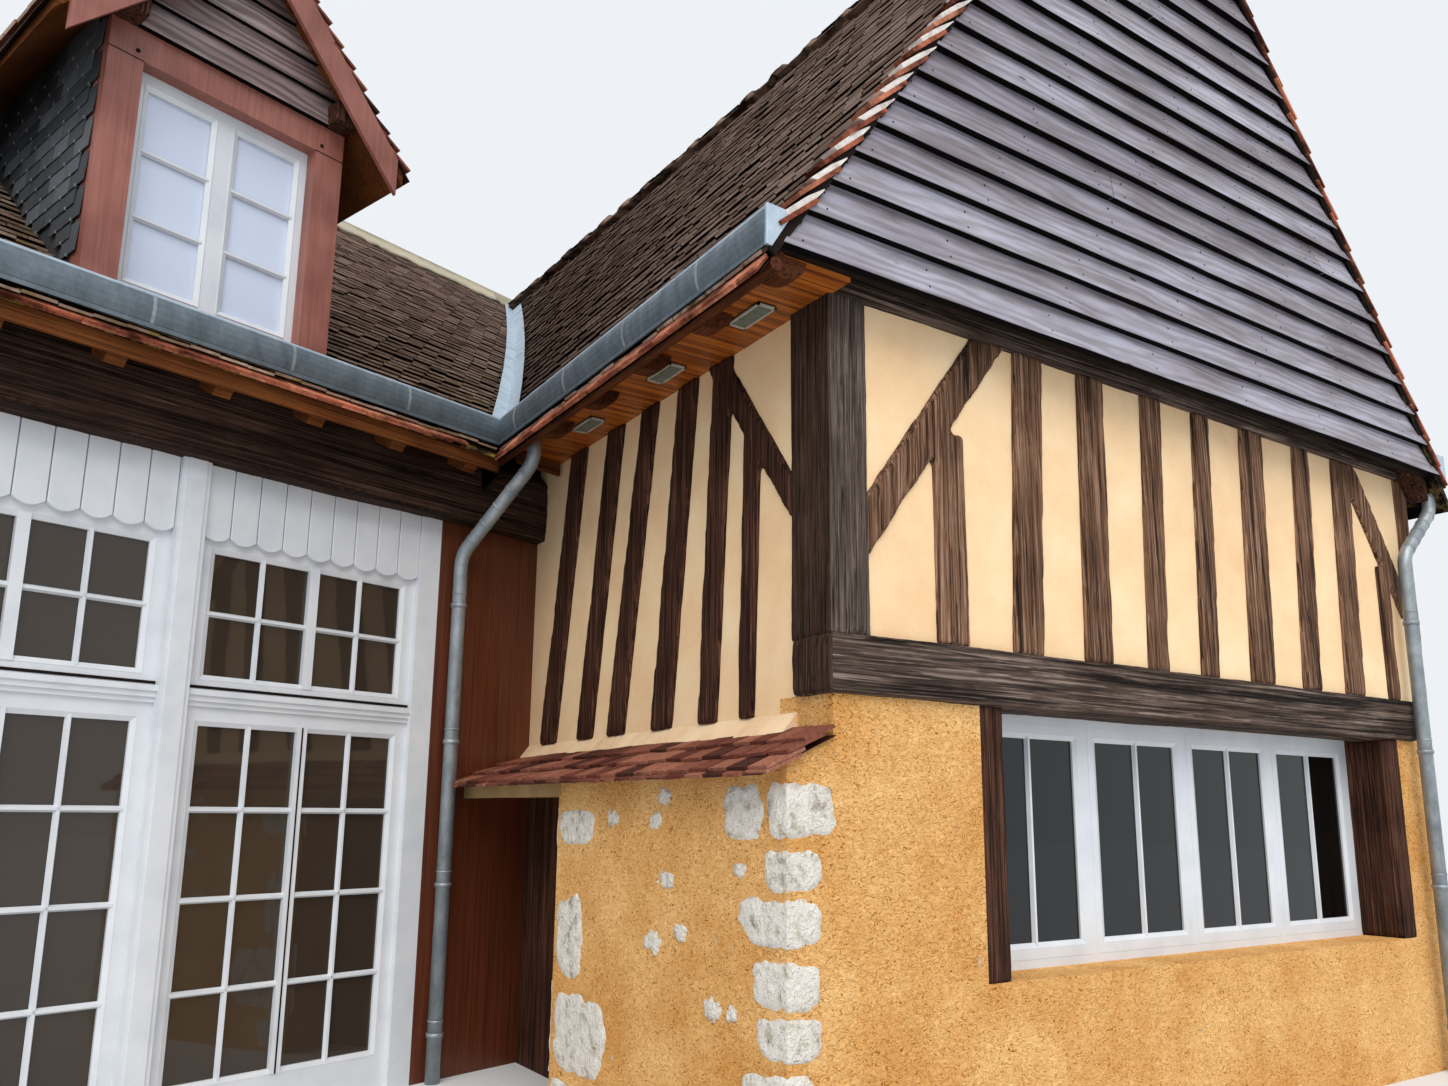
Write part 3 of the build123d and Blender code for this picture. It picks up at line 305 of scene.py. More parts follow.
def coated_wood_finishes():
    """Stained pine lining, red-brown paint, varnish and white paint."""
    # Clear-stained pine lining: warm, smooth, with thin dark joints.
    tree, shader = new_finish("pine", "stained_pine", 0.45)
    grain = cloud(tree, (0.5, 0.008, 0.008), bend=0.6)
    warm = ramp(tree, grain, ((0.25, "8f4a14"), (0.5, "b0601a"), (0.75, "c67422")))
    boarding = {"Vector": coordinates(tree, 0.302), "Scale": 1.0, "Distortion": 0.0}
    joint = put(tree, "ShaderNodeTexWave", boarding, bands_direction="Y", wave_profile="SAW").outputs["Fac"]
    line = mask(tree, joint, 0.90, 0.95)
    plank = cloud(tree, (4.0, 0.045, 4.0), detail=0)
    warm = blend(tree, "MULTIPLY", mask(tree, plank, 0.35, 0.65), warm, "b9a48c")
    paint(shader, blend(tree, "MIX", line, warm, "3b1f0d"))
    relief(shader, maths(tree, "SUBTRACT", 1.0, line), 0.003)
    # Satin red-brown paint on planed timber: even, with faint streaks.
    tree, shader = new_finish("red_paint", "red_brown_paint", 0.42)
    streak = cloud(tree, (0.02, 0.02, 0.6), bend=0.5)
    tone = ramp(tree, streak, ((0.2, "834c40"), (0.5, "985d4f"), (0.8, "a96c5d")))
    paint(shader, blend(tree, "MULTIPLY", mask(tree, cloud(tree, 0.4, detail=2), 0.4, 0.7), tone, "d8cfca"))
    relief(shader, streak, 0.0006)
    # Varnished boarding: dark red-brown, with a soft shine over its grain.
    tree, shader = new_finish("panel", "varnished_panel", 0.38)
    streak = cloud(tree, (0.015, 0.015, 0.8), detail=5, bend=0.8)
    paint(shader, ramp(tree, streak, ((0.2, "3a1a0d"), (0.5, "5b2c18"), (0.8, "73391f"))))
    relief(shader, streak, 0.0008)
    # White gloss-painted joinery: nearly even, a little grey where dust settles.
    tree, shader = new_finish("white", "white_joinery_paint", 0.35)
    dust = cloud(tree, 0.25, detail=5)
    paint(shader, ramp(tree, dust, ((0.25, "cdd2d6"), (0.5, "d9dcdf"), (0.8, "e1e3e5"))))
    relief(shader, cloud(tree, (0.01, 0.01, 0.05), detail=2), 0.0003)


def mineral_finishes():
    """Plaster, render, stone, mortar, matt vents and deep shade."""
    for row in (
            # Smooth lime plaster between the studs: cream, faintly mottled and trowelled.
            ("plaster", "cream_lime_plaster", ((0.3, "eecb9e"), (0.5, "f4d5ab"), (0.7, "f8deb9")),
             0.5, 0.012, 0.0012, 0.86),
            ("flare", "cream_plaster_flare", ((0.3, "dfbf97"), (0.5, "ebcea8"), (0.7, "f2dab8")),
             0.3, 0.02, 0.002, 0.88),
            # Limestone: pale, pocked and chalky.
            ("stone", "limestone_block",
             ((0.24, "8a8276"), (0.36, "d2c9b9"), (0.46, "efe8db"), (0.75, "fdf8ef")),
             0.07, 0.016, 0.022, 0.9),
            ("mortar", "lime_mortar", ((0.3, "b3aaa1"), (0.5, "ddd5cd"), (0.75, "f0ebe5")),
             0.08, 0.012, 0.006, 0.92),
            # Plain render of the party walls, and the recess's smoother lintel.
            ("party", "plain_party_render", ((0.3, "bbb199"), (0.5, "c2b89f"), (0.7, "c9c0a8")),
             0.9, 0.02, 0.003, 0.9),
            ("lintel_stone", "smooth_ochre_lintel", ((0.3, "a98a5c"), (0.5, "bb9a68"), (0.7, "c9aa79")),
             0.3, 0.02, 0.002, 0.85),
            ("floor_stone", "floor_slab", ((0.3, "6f6b62"), (0.6, "8d887d")), 0.3, 0.02, 0.002, 0.9),
            # Matt vents, pale frame and greener slats.
            ("vent", "pale_vent_metal", ((0.3, "a9a596"), (0.6, "c1bdad")), 0.05, 0.01, 0.0004, 0.6),
            ("vent_slat", "green_grey_slats", ((0.3, "6d7264"), (0.6, "858a7b")), 0.05, 0.01, 0.0004, 0.6),
            # Deep shade behind boards and under their laps.
            ("underside", "board_underside", ((0.3, "030202"), (0.6, "080606")), 0.1, 0.02, 0.001, 1.0),
            ("shade", "dark_backing", ((0.3, "17110e"), (0.6, "251b16")), 0.1, 0.02, 0.001, 0.9)):
        mineral(*row)
    # Coarse thrown render: ochre, deeply pitted, worn through to pale stone in spots.
    tree, shader = new_finish("render", "ochre_thrown_render", 0.92)
    pits = cloud(tree, (0.034, 0.034, 0.020), rough=0.6, bend=2.4)
    tones = zip((0.31, 0.38, 0.44, 0.6, 0.75), ("7a4a20", "c98f4a", "efb670", "fccb87", "ffe0ae"))
    ochre = ramp(tree, pits, tones)
    shaded = blend(tree, "MULTIPLY", mask(tree, cloud(tree, 0.45), 0.35, 0.7), ochre, "e6d3b8")
    worn = cloud(tree, (0.12, 0.12, 0.16), detail=3, rough=0.6, bend=0.4)
    spots = maths(tree, "MULTIPLY", mask(tree, worn, 0.70, 0.72), mask(tree, height(tree), 1.9, 0.6))
    paint(shader, blend(tree, "MIX", spots, shaded, "d8cdb8"))
    relief(shader, maths(tree, "SUBTRACT", 1.0, spots), 0.006, relief(shader, pits, 0.014))


def tile_finishes():
    """Clay tiles and slate."""
    # Clay tiles: soot-brown roofs, paler ridge, orange verges and the small roof's red-brown.
    clay_tile("tile", ("1a120d", "261b14", "33251c", "413125", "55422f"), 0.42, 0.8, (5.4, "5b4a2b"))
    clay_tile("tile_left", ("33211a", "4d3424", "664733", "7d5940", "946d52"), 0.42, 0.8, (6.4, "7c6a2c"))
    clay_tile("tile_ridge", ("4a382e", "6b5344", "876b5a", "9b7d6a", "75594a"), 0.42, 0.5)
    clay_tile("tile_verge", ("8a4a34", "b5654a", "cb7a5b", "dc916f", "a35a41"), 0.42, 0.5)
    clay_tile("tile_pentice", ("4c2c24", "744034", "8f5644", "b0735b", "82493a"), 0.56, 0.5)
    # Riven slate: blue-black, with a faint sheen and split ridges.
    tree, shader = new_finish("slate", "riven_slate", 0.5)
    split = cloud(tree, (0.05, 0.05, 0.02), detail=6, rough=0.6)
    cut = ramp(tree, attribute(tree, "tone"), ((0.0, "33373b"), (0.5, "4e5358"), (1.0, "6d7378")))
    paint(shader, blend(tree, "OVERLAY", 0.5, cut, ramp(tree, split, ((0.3, "5a5a5a"), (0.7, "a0a0a0")))))
    relief(shader, split, 0.003)


def sheet_finishes():
    """Zinc and glass."""
    # Rolled zinc sheet, weathered to a blue-grey patina: soft, uneven shine. The pale zinc is also a painted
    # highlight on the gutters' beads.
    for key, tones in (("zinc", ("5a646b", "6a757c", "7b868d")),
                       ("zinc_pale", ("9fb0bf", "b4c3cf", "c9d6df")),
                       ("zinc_pipe", ("7f878b", "969ea2", "adb4b7"))):
        tree, shader = new_finish(key, "weathered_" + key, 0.45, 0.6)
        patina = cloud(tree, (0.12, 0.12, 0.2), detail=6, rough=0.65, bend=0.3)
        paint(shader, ramp(tree, patina, zip((0.3, 0.5, 0.72), tones)))
        tree.links.new(mask(tree, patina, 1.4, -0.2), shader.inputs["Roughness"])
        relief(shader, patina, 0.0015)
    # Window glass: clear sheet, a little uneven; the left wing's looks warmer, with pale things behind it.
    for key, tint, through, shine in (("glass", "6f6052", 0.75, 0.35), ("glass_front", "2b302e", 0.9, 0.08)):
        tree, shader = new_finish(key, "window_" + key, 0.03)
        for socket, value in (("Base Color", colour(tint)), ("Transmission Weight", through), ("IOR", 1.5),
                              ("Specular IOR Level", shine)):
            shader.inputs[socket].default_value = value
        relief(shader, cloud(tree, 0.6, detail=1), 0.0015)
    # The dormer's panes carry a painted reflection of the bright sky: a pale blue colour that lets little
    # light through.
    shader = new_finish("glass_dormer", "glass_painted_sky_reflection", 0.06)[1]
    shader.inputs["Base Color"].default_value = colour("dbe4f6")
    shader.inputs["Transmission Weight"].default_value = 0.12


NODE_FINISH = {node: finish for finish, nodes in (
    ("render", "front_masonry side_masonry right_masonry"), ("plaster", "front_plaster side_plaster"),
    ("flare", "plaster_flare"), ("shade", "gable_wall gable_boards dormer_gable soffit_vents"),
    ("oak_level", "front_beam front_plate"), ("oak_upright", "corner_post"), ("oak_stud", "front_studs"),
    ("oak_side", "side_studs window_posts recess_boarding dormer_purlins"),
    ("oak_side", "gable_deck_left gable_deck_right left_deck"),
    ("oak_lintel", "left_beam"), ("oak_eaves", "eaves_timbers"), ("oak_eaves_left", "left_eaves dormer_deck"),
    ("pine", "eaves_soffit"), ("panel", "corner_panel"), ("red_paint", "dormer_frame dormer_barges"),
    ("slate", "dormer_cheeks"), ("tile", "gable_tiles_left gable_tiles_right ridge_cap"),
    ("tile_left", "left_tiles dormer_tiles"), ("tile_pentice", "pentice"),
    ("white", "dormer_window bay_joinery valance window_frame"), ("glass", "bay_glass"),
    ("glass_front", "window_glass"), ("glass_dormer", "dormer_glass"), ("zinc_pale", "valley_zinc"),
    ("zinc", "gutters"), ("zinc_pipe", "downpipes"), ("party", "party_wall_back party_wall_left"),
    ("floor_stone", "ground_floor"), ("floor_boards", "upper_floors")) for node in nodes.split()}


# Making pieces

def linked(name, mesh):
    """A mesh as an object in the scene."""
    piece = bpy.data.objects.new(name, mesh)
    bpy.context.scene.collection.objects.link(piece)
    return piece


def finished(name, mesh, finish, smooth=False):
    """A mesh as a piece of the house, with a finish."""
    piece = linked(name, mesh)
    if finish:
        mesh.materials.clear()
        mesh.materials.append(FINISH[finish])
    for face in mesh.polygons:
        face.use_smooth = smooth
    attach(piece, "root")
    return piece


def to_mesh(name, bm):
    """A bmesh turned into a mesh."""
    mesh = bpy.data.meshes.new(name)
    bm.to_mesh(mesh)
    bm.free()
    return mesh


def evaluated(piece):
    """The mesh that a piece's modifiers give."""
    bpy.context.view_layer.update()
    return bpy.data.meshes.new_from_object(piece.evaluated_get(bpy.context.evaluated_depsgraph_get()))


def second_finish(piece, finish, chosen):
    """A second finish on the faces whose normal is chosen."""
    piece.data.materials.append(FINISH[finish])
    for face in piece.data.polygons:
        if chosen(face.normal):
            face.material_index = 1


class Shape:
    """A mesh in the making; each point carries the tone of its tile or board."""

    def __init__(self):
        self.bm = bmesh.new()
        self.tone = self.bm.verts.layers.float.new("tone")

    def loft(self, rings, tone=0.0):
        """Closed rings of places, joined by faces and capped at both ends; gives the new points."""
        rings = [[self.bm.verts.new(place) for place in ring] for ring in rings]
        for a, b in zip(rings, rings[1:]):
            for i in range(len(a)):
                k = (i + 1) % len(a)
                self.bm.faces.new([a[i], b[i], b[k], a[k]])
        self.bm.faces.new(rings[0])
        self.bm.faces.new(list(reversed(rings[-1])))
        points = [point for ring in rings for point in ring]
        for point in points:
            point[self.tone] = tone
        return points

    def prism(self, place, outline, start, end, axis="Y", tone=0.0):
        """A closed outline drawn out between two places along a frame's axis."""
        def at(a, b, t):
            return place @ Vector({"X": (t, a, b), "Y": (a, t, b), "Z": (a, b, t)}[axis])
        return self.loft([[at(a, b, t) for a, b in outline] for t in (start, end)], tone)

    def box(self, place, low, high, tone=0.0):
        """A box between two corners of a frame."""
        (x0, y0, z0), (x1, y1, z1) = low, high
        return self.prism(place, [(x0, z0), (x1, z0), (x1, z1), (x0, z1)], y0, y1, tone=tone)

    def tube(self, points, radius, sides):
        """A round tube along points, with mitred joints."""
        rings = []
        up = Vector((0.13, 0.31, 0.94)).normalized()
        for i, point in enumerate(points):
            before = (points[i] - points[i - 1]).normalized() if i else None
            after = (points[i + 1] - points[i]).normalized() if i + 1 < len(points) else None
            direction = ((before or after) + (after or before)).normalized()
            side = direction.cross(up).normalized()
            lift = side.cross(direction).normalized()
            rings.append([point + (side * math.cos(t) + lift * math.sin(t)) * radius
                          for t in (2 * math.pi * k / sides for k in range(sides))])
        self.loft(rings)

    def stop_at_left_wing(self):
        """What would run into the left wing's front is taken off."""
        bm = self.bm
        bmesh.ops.bisect_plane(bm, geom=bm.verts[:] + bm.edges[:] + bm.faces[:], plane_no=INWARD,
                               plane_co=WING @ Vector((0, MASONRY_END, 0)), clear_outer=True)

    def piece(self, name, finish, slot, smooth=False, bevel=0.0):
        """The finished piece, its faces turned outwards and its edges eased."""
        bmesh.ops.recalc_face_normals(self.bm, faces=self.bm.faces[:])
        if bevel:
            bmesh.ops.bevel(self.bm, geom=self.bm.edges[:], offset=bevel, segments=1, affect="EDGES",
                            clamp_overlap=True)
        return finished(name, to_mesh(name, self.bm), finish, smooth)


def merged_copy(node):
    """A CAD node's mesh, copied and with its loose triangles joined."""
    bm = bmesh.new()
    bm.from_mesh(NODES[node].data)
    bmesh.ops.remove_doubles(bm, verts=bm.verts[:], dist=0.00005)
    return bm


def hewn(node, finish, voxel, wave, grain="Z", turn=0.0, grooves=0.010, lee=None):
    """A CAD timber with its edges worn round and its faces hewn uneven; it stands for the node."""
    name = node + "_hewn"
    piece = linked(name, to_mesh(name, merged_copy(node)))
    remesh = piece.modifiers.new("voxels", "REMESH")
    remesh.mode = "VOXEL"
    remesh.voxel_size = voxel
    ease = piece.modifiers.new("ease", "SMOOTH")
    ease.iterations = 2
    ease.factor = 0.5
    result = evaluated(piece)
    bpy.data.objects.remove(piece)
    stretch = {"X": Vector((1.2, 9, 9)), "Y": Vector((9, 1.2, 9)), "Z": Vector((9, 9, 1.2))}[grain]
    back = Matrix.Rotation(-turn, 3, "Z")
    proud = 0.003
    normals = [v.normal.copy() for v in result.vertices]
    for vertex, normal in zip(result.vertices, normals):
        place = back @ vertex.co
        at = Vector((place.x * stretch.x, place.y * stretch.y, place.z * stretch.z)) * 0.35
        swell = noise.noise(at) + 0.5 * noise.noise(at * 2.7)
        chip = noise.noise(Vector((place.x * 30, place.y * 30, place.z * 30)) * 0.5)
        groove = max(0.0, noise.noise(at * 6.0 + Vector((5, 5, 5))))
        vertex.co += normal * (proud + wave * max(0.0, swell + 0.4) * 0.6 + 0.002 * chip - grooves * groove)
    result.name = name
    piece = finished(name, result, finish, smooth=True)
    if lee:
        second_finish(piece, lee, lambda normal: normal.x < -0.7)
    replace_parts(piece, node)


# Courses of tiles, by Geometry Nodes

def float_socket(sockets, name):
    """The float socket of a name, among a node's sockets for other kinds of value."""
    return next(s for s in sockets if s.name == name and s.type == "VALUE")


def stored(tree, geometry, name, value, domain):
    """Geometry with a value kept on its faces or instances."""
    node = put(tree, "GeometryNodeStoreNamedAttribute", {"Geometry": geometry, "Name": name},
               data_type="FLOAT", domain=domain)
    tree.links.new(value, float_socket(node.inputs, "Value"))
    return node.outputs[0]


def random_value(tree, seed, **limits):
    """A random value between limits, or between 0 and 1."""
    node = put(tree, "FunctionNodeRandomValue", {"Seed": seed}, data_type="FLOAT")
    for name, source in limits.items():
        tree.links.new(source, float_socket(node.inputs, name))
    return float_socket(node.outputs, "Value")


def course_tree():
    """Geometry Nodes that lay one slab on each point, turned and stretched by the point's attributes."""
    tree = bpy.data.node_groups.new("lay_courses", "GeometryNodeTree")
    face = tree.interface
    face.new_socket("Geometry", in_out="INPUT", socket_type="NodeSocketGeometry")
    for name, start in (("Width", 0.16), ("Length", 0.19), ("Thickness", 0.013), ("Lift", 0.026),
                        ("Jitter", 0.02)):
        face.new_socket(name, in_out="INPUT", socket_type="NodeSocketFloat").default_value = start
    face.new_socket("Seed", in_out="INPUT", socket_type="NodeSocketInt").default_value = 1
    face.new_socket("Finish", in_out="INPUT", socket_type="NodeSocketMaterial")
    face.new_socket("Geometry", in_out="OUTPUT", socket_type="NodeSocketGeometry")
    given = put(tree, "NodeGroupInput").outputs
    # One slab, with its lower end marked for the tiles' painted highlight, tilted up from its tail.
    size = triple(tree, {0: given["Width"], 1: given["Length"], 2: given["Thickness"]})
    slab = put(tree, "GeometryNodeMeshCube", {"Size": size}).outputs["Mesh"]
    normal = put(tree, "GeometryNodeInputNormal").outputs[0]
    facing = put(tree, "ShaderNodeSeparateXYZ", {0: normal}).outputs["Y"]
    slab = stored(tree, slab, "tail", maths(tree, "LESS_THAN", facing, -0.9), "FACE")
    shift = triple(tree, {1: maths(tree, "MULTIPLY", given["Length"], 0.5),
                          2: maths(tree, "MULTIPLY", given["Thickness"], 0.5)})
    slab = put(tree, "GeometryNodeTransform", {"Geometry": slab, "Translation": shift}).outputs[0]
    angle = maths(tree, "MULTIPLY", maths(tree, "DIVIDE", given["Lift"], given["Length"]), -1.0)
    lifted, tilted = triple(tree, {2: given["Lift"]}), triple(tree, {0: angle})
    tile = put(tree, "GeometryNodeTransform", {"Geometry": slab, "Translation": lifted,
                                              "Rotation": tilted}).outputs[0]
    # One tile on each point, each a little loose.
    turn, stretch = (put(tree, "GeometryNodeInputNamedAttribute", {"Name": name},
                         data_type="FLOAT_VECTOR").outputs[0] for name in ("turn", "stretch"))
    rotation = put(tree, "FunctionNodeEulerToRotation", {0: turn}).outputs[0]
    laid = put(tree, "GeometryNodeInstanceOnPoints", {"Points": given["Geometry"], "Instance": tile,
                                                     "Rotation": rotation, "Scale": stretch}).outputs[0]
    low = maths(tree, "MULTIPLY", given["Jitter"], -1.0)
    wobble = triple(tree, {axis: random_value(tree, maths(tree, "ADD", given["Seed"], float(axis)), Min=low,
                                              Max=given["Jitter"]) for axis in range(3)})
    loose = put(tree, "GeometryNodeRotateInstances", {"Instances": laid, "Rotation": wobble}).outputs[0]
    toned = stored(tree, loose, "tone", random_value(tree, given["Seed"]), "INSTANCE")
    real = put(tree, "GeometryNodeRealizeInstances", {0: toned}).outputs[0]
    painted = put(tree, "GeometryNodeSetMaterial", {"Geometry": real, "Material": given["Finish"]}).outputs[0]
    put(tree, "NodeGroupOutput", {0: painted})
    return tree


def lay(name, points, sizes, finish, seed):
    """Points with a turn and a stretch, laid with slabs by the course tree and made a plain mesh."""
    tree = bpy.data.node_groups.get("lay_courses") or course_tree()
    mesh = bpy.data.meshes.new(name)
    mesh.from_pydata([point[0] for point in points], [], [])
    for key, column in (("turn", 1), ("stretch", 2)):
        layer = mesh.attributes.new(key, "FLOAT_VECTOR", "POINT")
        layer.data.foreach_set("vector", [c for point in points for c in point[column]])
    source = linked(name + "_points", mesh)
    modifier = source.modifiers.new("courses", "NODES")
    modifier.node_group = tree
    values = dict(sizes, Seed=seed, Finish=FINISH[finish])
    for item in tree.interface.items_tree:
        if item.in_out == "INPUT" and item.name in values:
            modifier[item.identifier] = values[item.name]
    result = evaluated(source)
    source.modifiers.remove(modifier)
    bpy.data.objects.remove(source)
    result.name = name
    return finished(name, result, None)


def surface(node):
    """A CAD node's faces, for finding what lies under a point."""
    bm = merged_copy(node)
    found = BVHTree.FromBMesh(bm)
    bm.free()
    return found


def slope_courses(faces, foot, top, width, exposure, seed, sink):
    """Tile places over a slope: foot and top are its lower and upper plan edges, each from end to end.

    Each course starts level on the slope, tiles break joint by half, and a place with no slope under it
    is left out, so valleys, walls and wells trim the courses by themselves."""
    dice = random.Random(seed)
    points = []
    (foot_a, foot_b), (top_a, top_b) = foot, top
    def on_slope(x, y):
        hit = faces.ray_cast(Vector((x, y, 50)), Vector((0, 0, -1)))
        return hit if hit[0] and hit[1].z > 0.2 else None
    probe = None
    for t in (0.3, 0.5, 0.15, 0.7):
        for s in (0.1, 0.3, 0.5, 0.7, 0.9):
            at = foot_a.lerp(foot_b, s).lerp(top_a.lerp(top_b, s), t)
            probe = probe or on_slope(at.x, at.y)
    fall = probe[1].z
    run = ((top_a + top_b) / 2 - (foot_a + foot_b) / 2).length
    # A place is tested, and its tile starts, this far up from the course's line.
    reach = 0.03
    up = (top_a.lerp(top_b, 0.5) - foot_a.lerp(foot_b, 0.5)).normalized() * reach
    rows = max(1, round(run / fall / exposure))
    for row in range(rows):
        a, b = foot_a.lerp(top_a, row / rows), foot_b.lerp(top_b, row / rows)
        step = b - a
        count = int(step.length / width)
        pitch = step.length / count
        broken = row % 2
        for k in range(count + broken):
            s, wide = k + 0.5 - 0.5 * broken, 1.0
            if broken and k in (0, count):
                s, wide = (0.25 if k == 0 else count - 0.25), 0.5
            at = a + step.normalized() * (s * pitch)
            hit = on_slope(at.x + up.x, at.y + up.y)
            if not hit:
                continue
            normal = hit[1]
            along = Vector((step.x, step.y, 0)).normalized()
            along = (along - normal * along.dot(normal)).normalized()
            rise = normal.cross(along).normalized()
            if rise.z < 0:
                along, rise = -along, -rise
            wander = noise.noise(Vector((at.x * 0.9, at.y * 0.9, row * 0.35)))
            sag = noise.noise(Vector((at.x * 0.5, at.y * 0.5, 7.0)))
            base = hit[0] - rise * (reach / fall - 0.034 * wander) - normal * (sink + 0.010 * sag)
            turn = Matrix((along, rise, normal)).transposed().to_euler()
            points.append((base + normal * dice.uniform(-0.003, 0.004) + rise * dice.uniform(-0.006, 0.006),
                           tuple(turn), (wide * pitch / width * 0.985, 1.0, dice.uniform(0.9, 1.1))))
    return points


def bed(node, finish, sink):
    """A CAD tile layer with its top lowered, to lie under its tiles."""
    faces = surface(node)
    bm = merged_copy(node)
    lowered = [vert for vert in bm.verts
               if not faces.ray_cast(vert.co + Vector((0, 0, 0.002)), Vector((0, 0, 1)))[0]]
    for vert in lowered:
        vert.co.z -= sink
    finished(node + "_bed", to_mesh(node + "_bed", bm), finish)


def ridge_line():
    """The two ends of the ridge's crown."""
    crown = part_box("ridge_cap")[1][2]
    line = sorted([v.co.copy() for v in NODES["ridge_cap"].data.vertices if v.co.z > crown - 0.002],
                  key=lambda v: v.y)
    return line[0], line[-1]


# Settings

class TileSettings(bpy.types.PropertyGroup):
    width: FloatProperty(name="Tile width", description="Width of one plain tile", default=0.172,
                         unit="LENGTH")
    length: FloatProperty(name="Tile length", description="Length of tile modelled under its neighbours",
                          default=0.2, unit="LENGTH")
    exposure: FloatProperty(name="Gauge", description="Part of each tile that shows", default=0.145,
                            unit="LENGTH")
    thickness: FloatProperty(name="Thickness", description="Thickness of one tile", default=0.016,
                             unit="LENGTH")
    lift: FloatProperty(name="Lift", description="Height of a tile's tail over its bed", default=0.058,
                        unit="LENGTH")


class BoardSettings(bpy.types.PropertyGroup):
    exposure: FloatProperty(name="Exposure", description="Part of each weatherboard that shows",
                            default=0.222, unit="LENGTH")
    thickness: FloatProperty(name="Butt", description="Thickness at a board's lower edge", default=0.057,
                             unit="LENGTH")
    scallop: FloatProperty(name="Scallop", description="Depth of the valance's scallops", default=0.036,
                           unit="LENGTH")


class JoinerySettings(bpy.types.PropertyGroup):
    bar: FloatProperty(name="Glazing bar", description="Width of a glazing bar", default=0.038, unit="LENGTH")
    moulding: FloatProperty(name="Moulding", description="Width of the moulding round the glass",
                            default=0.03, unit="LENGTH")


class LightSettings(bpy.types.PropertyGroup):
    sky: FloatProperty(name="Sky", description="Strength of the even sky light", default=1.0,
                       subtype="FACTOR")
    key: FloatProperty(name="Key", description="Strength of the soft key light", default=2.2,
                       subtype="FACTOR")


def settings(name):
    """One group of the scene's settings."""
    return getattr(bpy.context.scene, "house_" + name)


# Pieces

class HOUSE_OT_finishes(bpy.types.Operator):
    """Make the finishes and put them on the CAD pieces"""
    bl_idname = "house.finishes"
    bl_label = "Finishes"

    def execute(self, context):
        bare_wood_finishes()
        coated_wood_finishes()
        mineral_finishes()
        tile_finishes()
        sheet_finishes()
        for name, node in NODES.items():
            node.data.materials.clear()
            node.data.materials.append(FINISH[NODE_FINISH[name]])
        return {"FINISHED"}


class HOUSE_OT_roof_tiles(bpy.types.Operator):
    """Lay plain tiles in courses over every slope"""
    bl_idname = "house.roof_tiles"
    bl_label = "Roof tiles"

    def execute(self, context):
        front, back = (GABLE.inverted() @ end for end in ridge_line())
        corner = CORNER.to_2d()
        along = back.to_2d() - front.to_2d()
        head = (front.to_2d() + corner, front.to_2d() + along * ((GABLE_BACK - front.y) / along.y) + corner)
        for node, edge, seed in (("gable_tiles_left", EAVES_LEFT, 11),
                                 ("gable_tiles_right", EAVES_RIGHT, 12)):
            foot = (Vector((edge, BOARD_PLANE - 0.045)) + corner, Vector((edge, GABLE_BACK)) + corner)
            self.cover(node, node + "_courses", [(foot, head)], 1.0, seed, "tile", "tile", 0.054 / 0.57)

        def across(depth, ends):
            return tuple((WING @ Vector((a, depth, 0))).to_2d() for a in ends)

        def inwards(x):
            return tuple((WING @ Vector((x, b, 0))).to_2d() for b in (3.25, 7.45))
        ends = (LEFT_END, 5.6)
        self.cover("left_tiles", "left_courses", [(across(LEFT_EAVES, ends), across(LEFT_BACK, ends))],
                   0.9, 13, "tile_left", "tile_left", 0.054 / 0.78)
        self.cover("dormer_tiles", "dormer_courses", [(inwards(DORMER + half), inwards(DORMER))
                                                      for half in (-1.15, 1.15)], 1.0, 14,
                   "tile_pentice", "tile_left", 0.052 / 0.66)
        self.eaves_layers()
        return {"FINISHED"}

    def cover(self, node, name, slopes, gauge, seed, finish, under, sink):
        """Courses over a node's slopes, which stand for the node, with its own layer lowered under them."""
        s = settings("tiles")
        sizes = {"Width": s.width, "Length": s.length, "Thickness": s.thickness, "Lift": s.lift,
                 "Jitter": 0.008}
        faces = surface(node)
        points = []
        for number, (foot, head) in enumerate(slopes):
            points += slope_courses(faces, foot, head, s.width, s.exposure * gauge, seed + number,
                                    s.lift + s.thickness - 0.004)
        piece = lay(name, points, sizes, finish, seed)
        bed(node, under, sink)
        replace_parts(piece, node)

    def eaves_layers(self):
        """Two layers of tile ends under the first course at each eaves, orange below the gutters."""
        dice = random.Random(17)
        shape = Shape()
        rows = []
        for layer in range(2):
            rise = 0.004 + 0.018 * layer
            v = -0.25
            while v < 3.0:
                wide = dice.uniform(0.16, 0.18)
                rows.append((GABLE @ Matrix.Translation((EAVES_LEFT - 0.008 + 0.006 * layer, v, 4.355))
                             @ Matrix.Rotation(-PITCH, 4, "Y"), (0.0, 0.0, rise),
                             (0.12, wide - 0.003, rise + 0.014)))
                v += wide
            a = -3.1
            while a < 0.0:
                wide = dice.uniform(0.16, 0.18)
                rows.append((WING @ Matrix.Translation((a, LEFT_EAVES - 0.006 + 0.006 * layer, 4.372))
                             @ Matrix.Rotation(math.atan(LEFT_SLOPE), 4, "X"), (0.0, 0.0, rise),
                             (wide - 0.003, 0.12, rise + 0.014)))
                a += wide
        for place, low, high in rows:
            tone = dice.random()
            shape.box(place @ Matrix.Rotation(dice.uniform(-0.02, 0.02), 4, "Z"), low, high, tone)
        shape.piece("eaves_tile_layers", "tile_verge", "clay_tile")


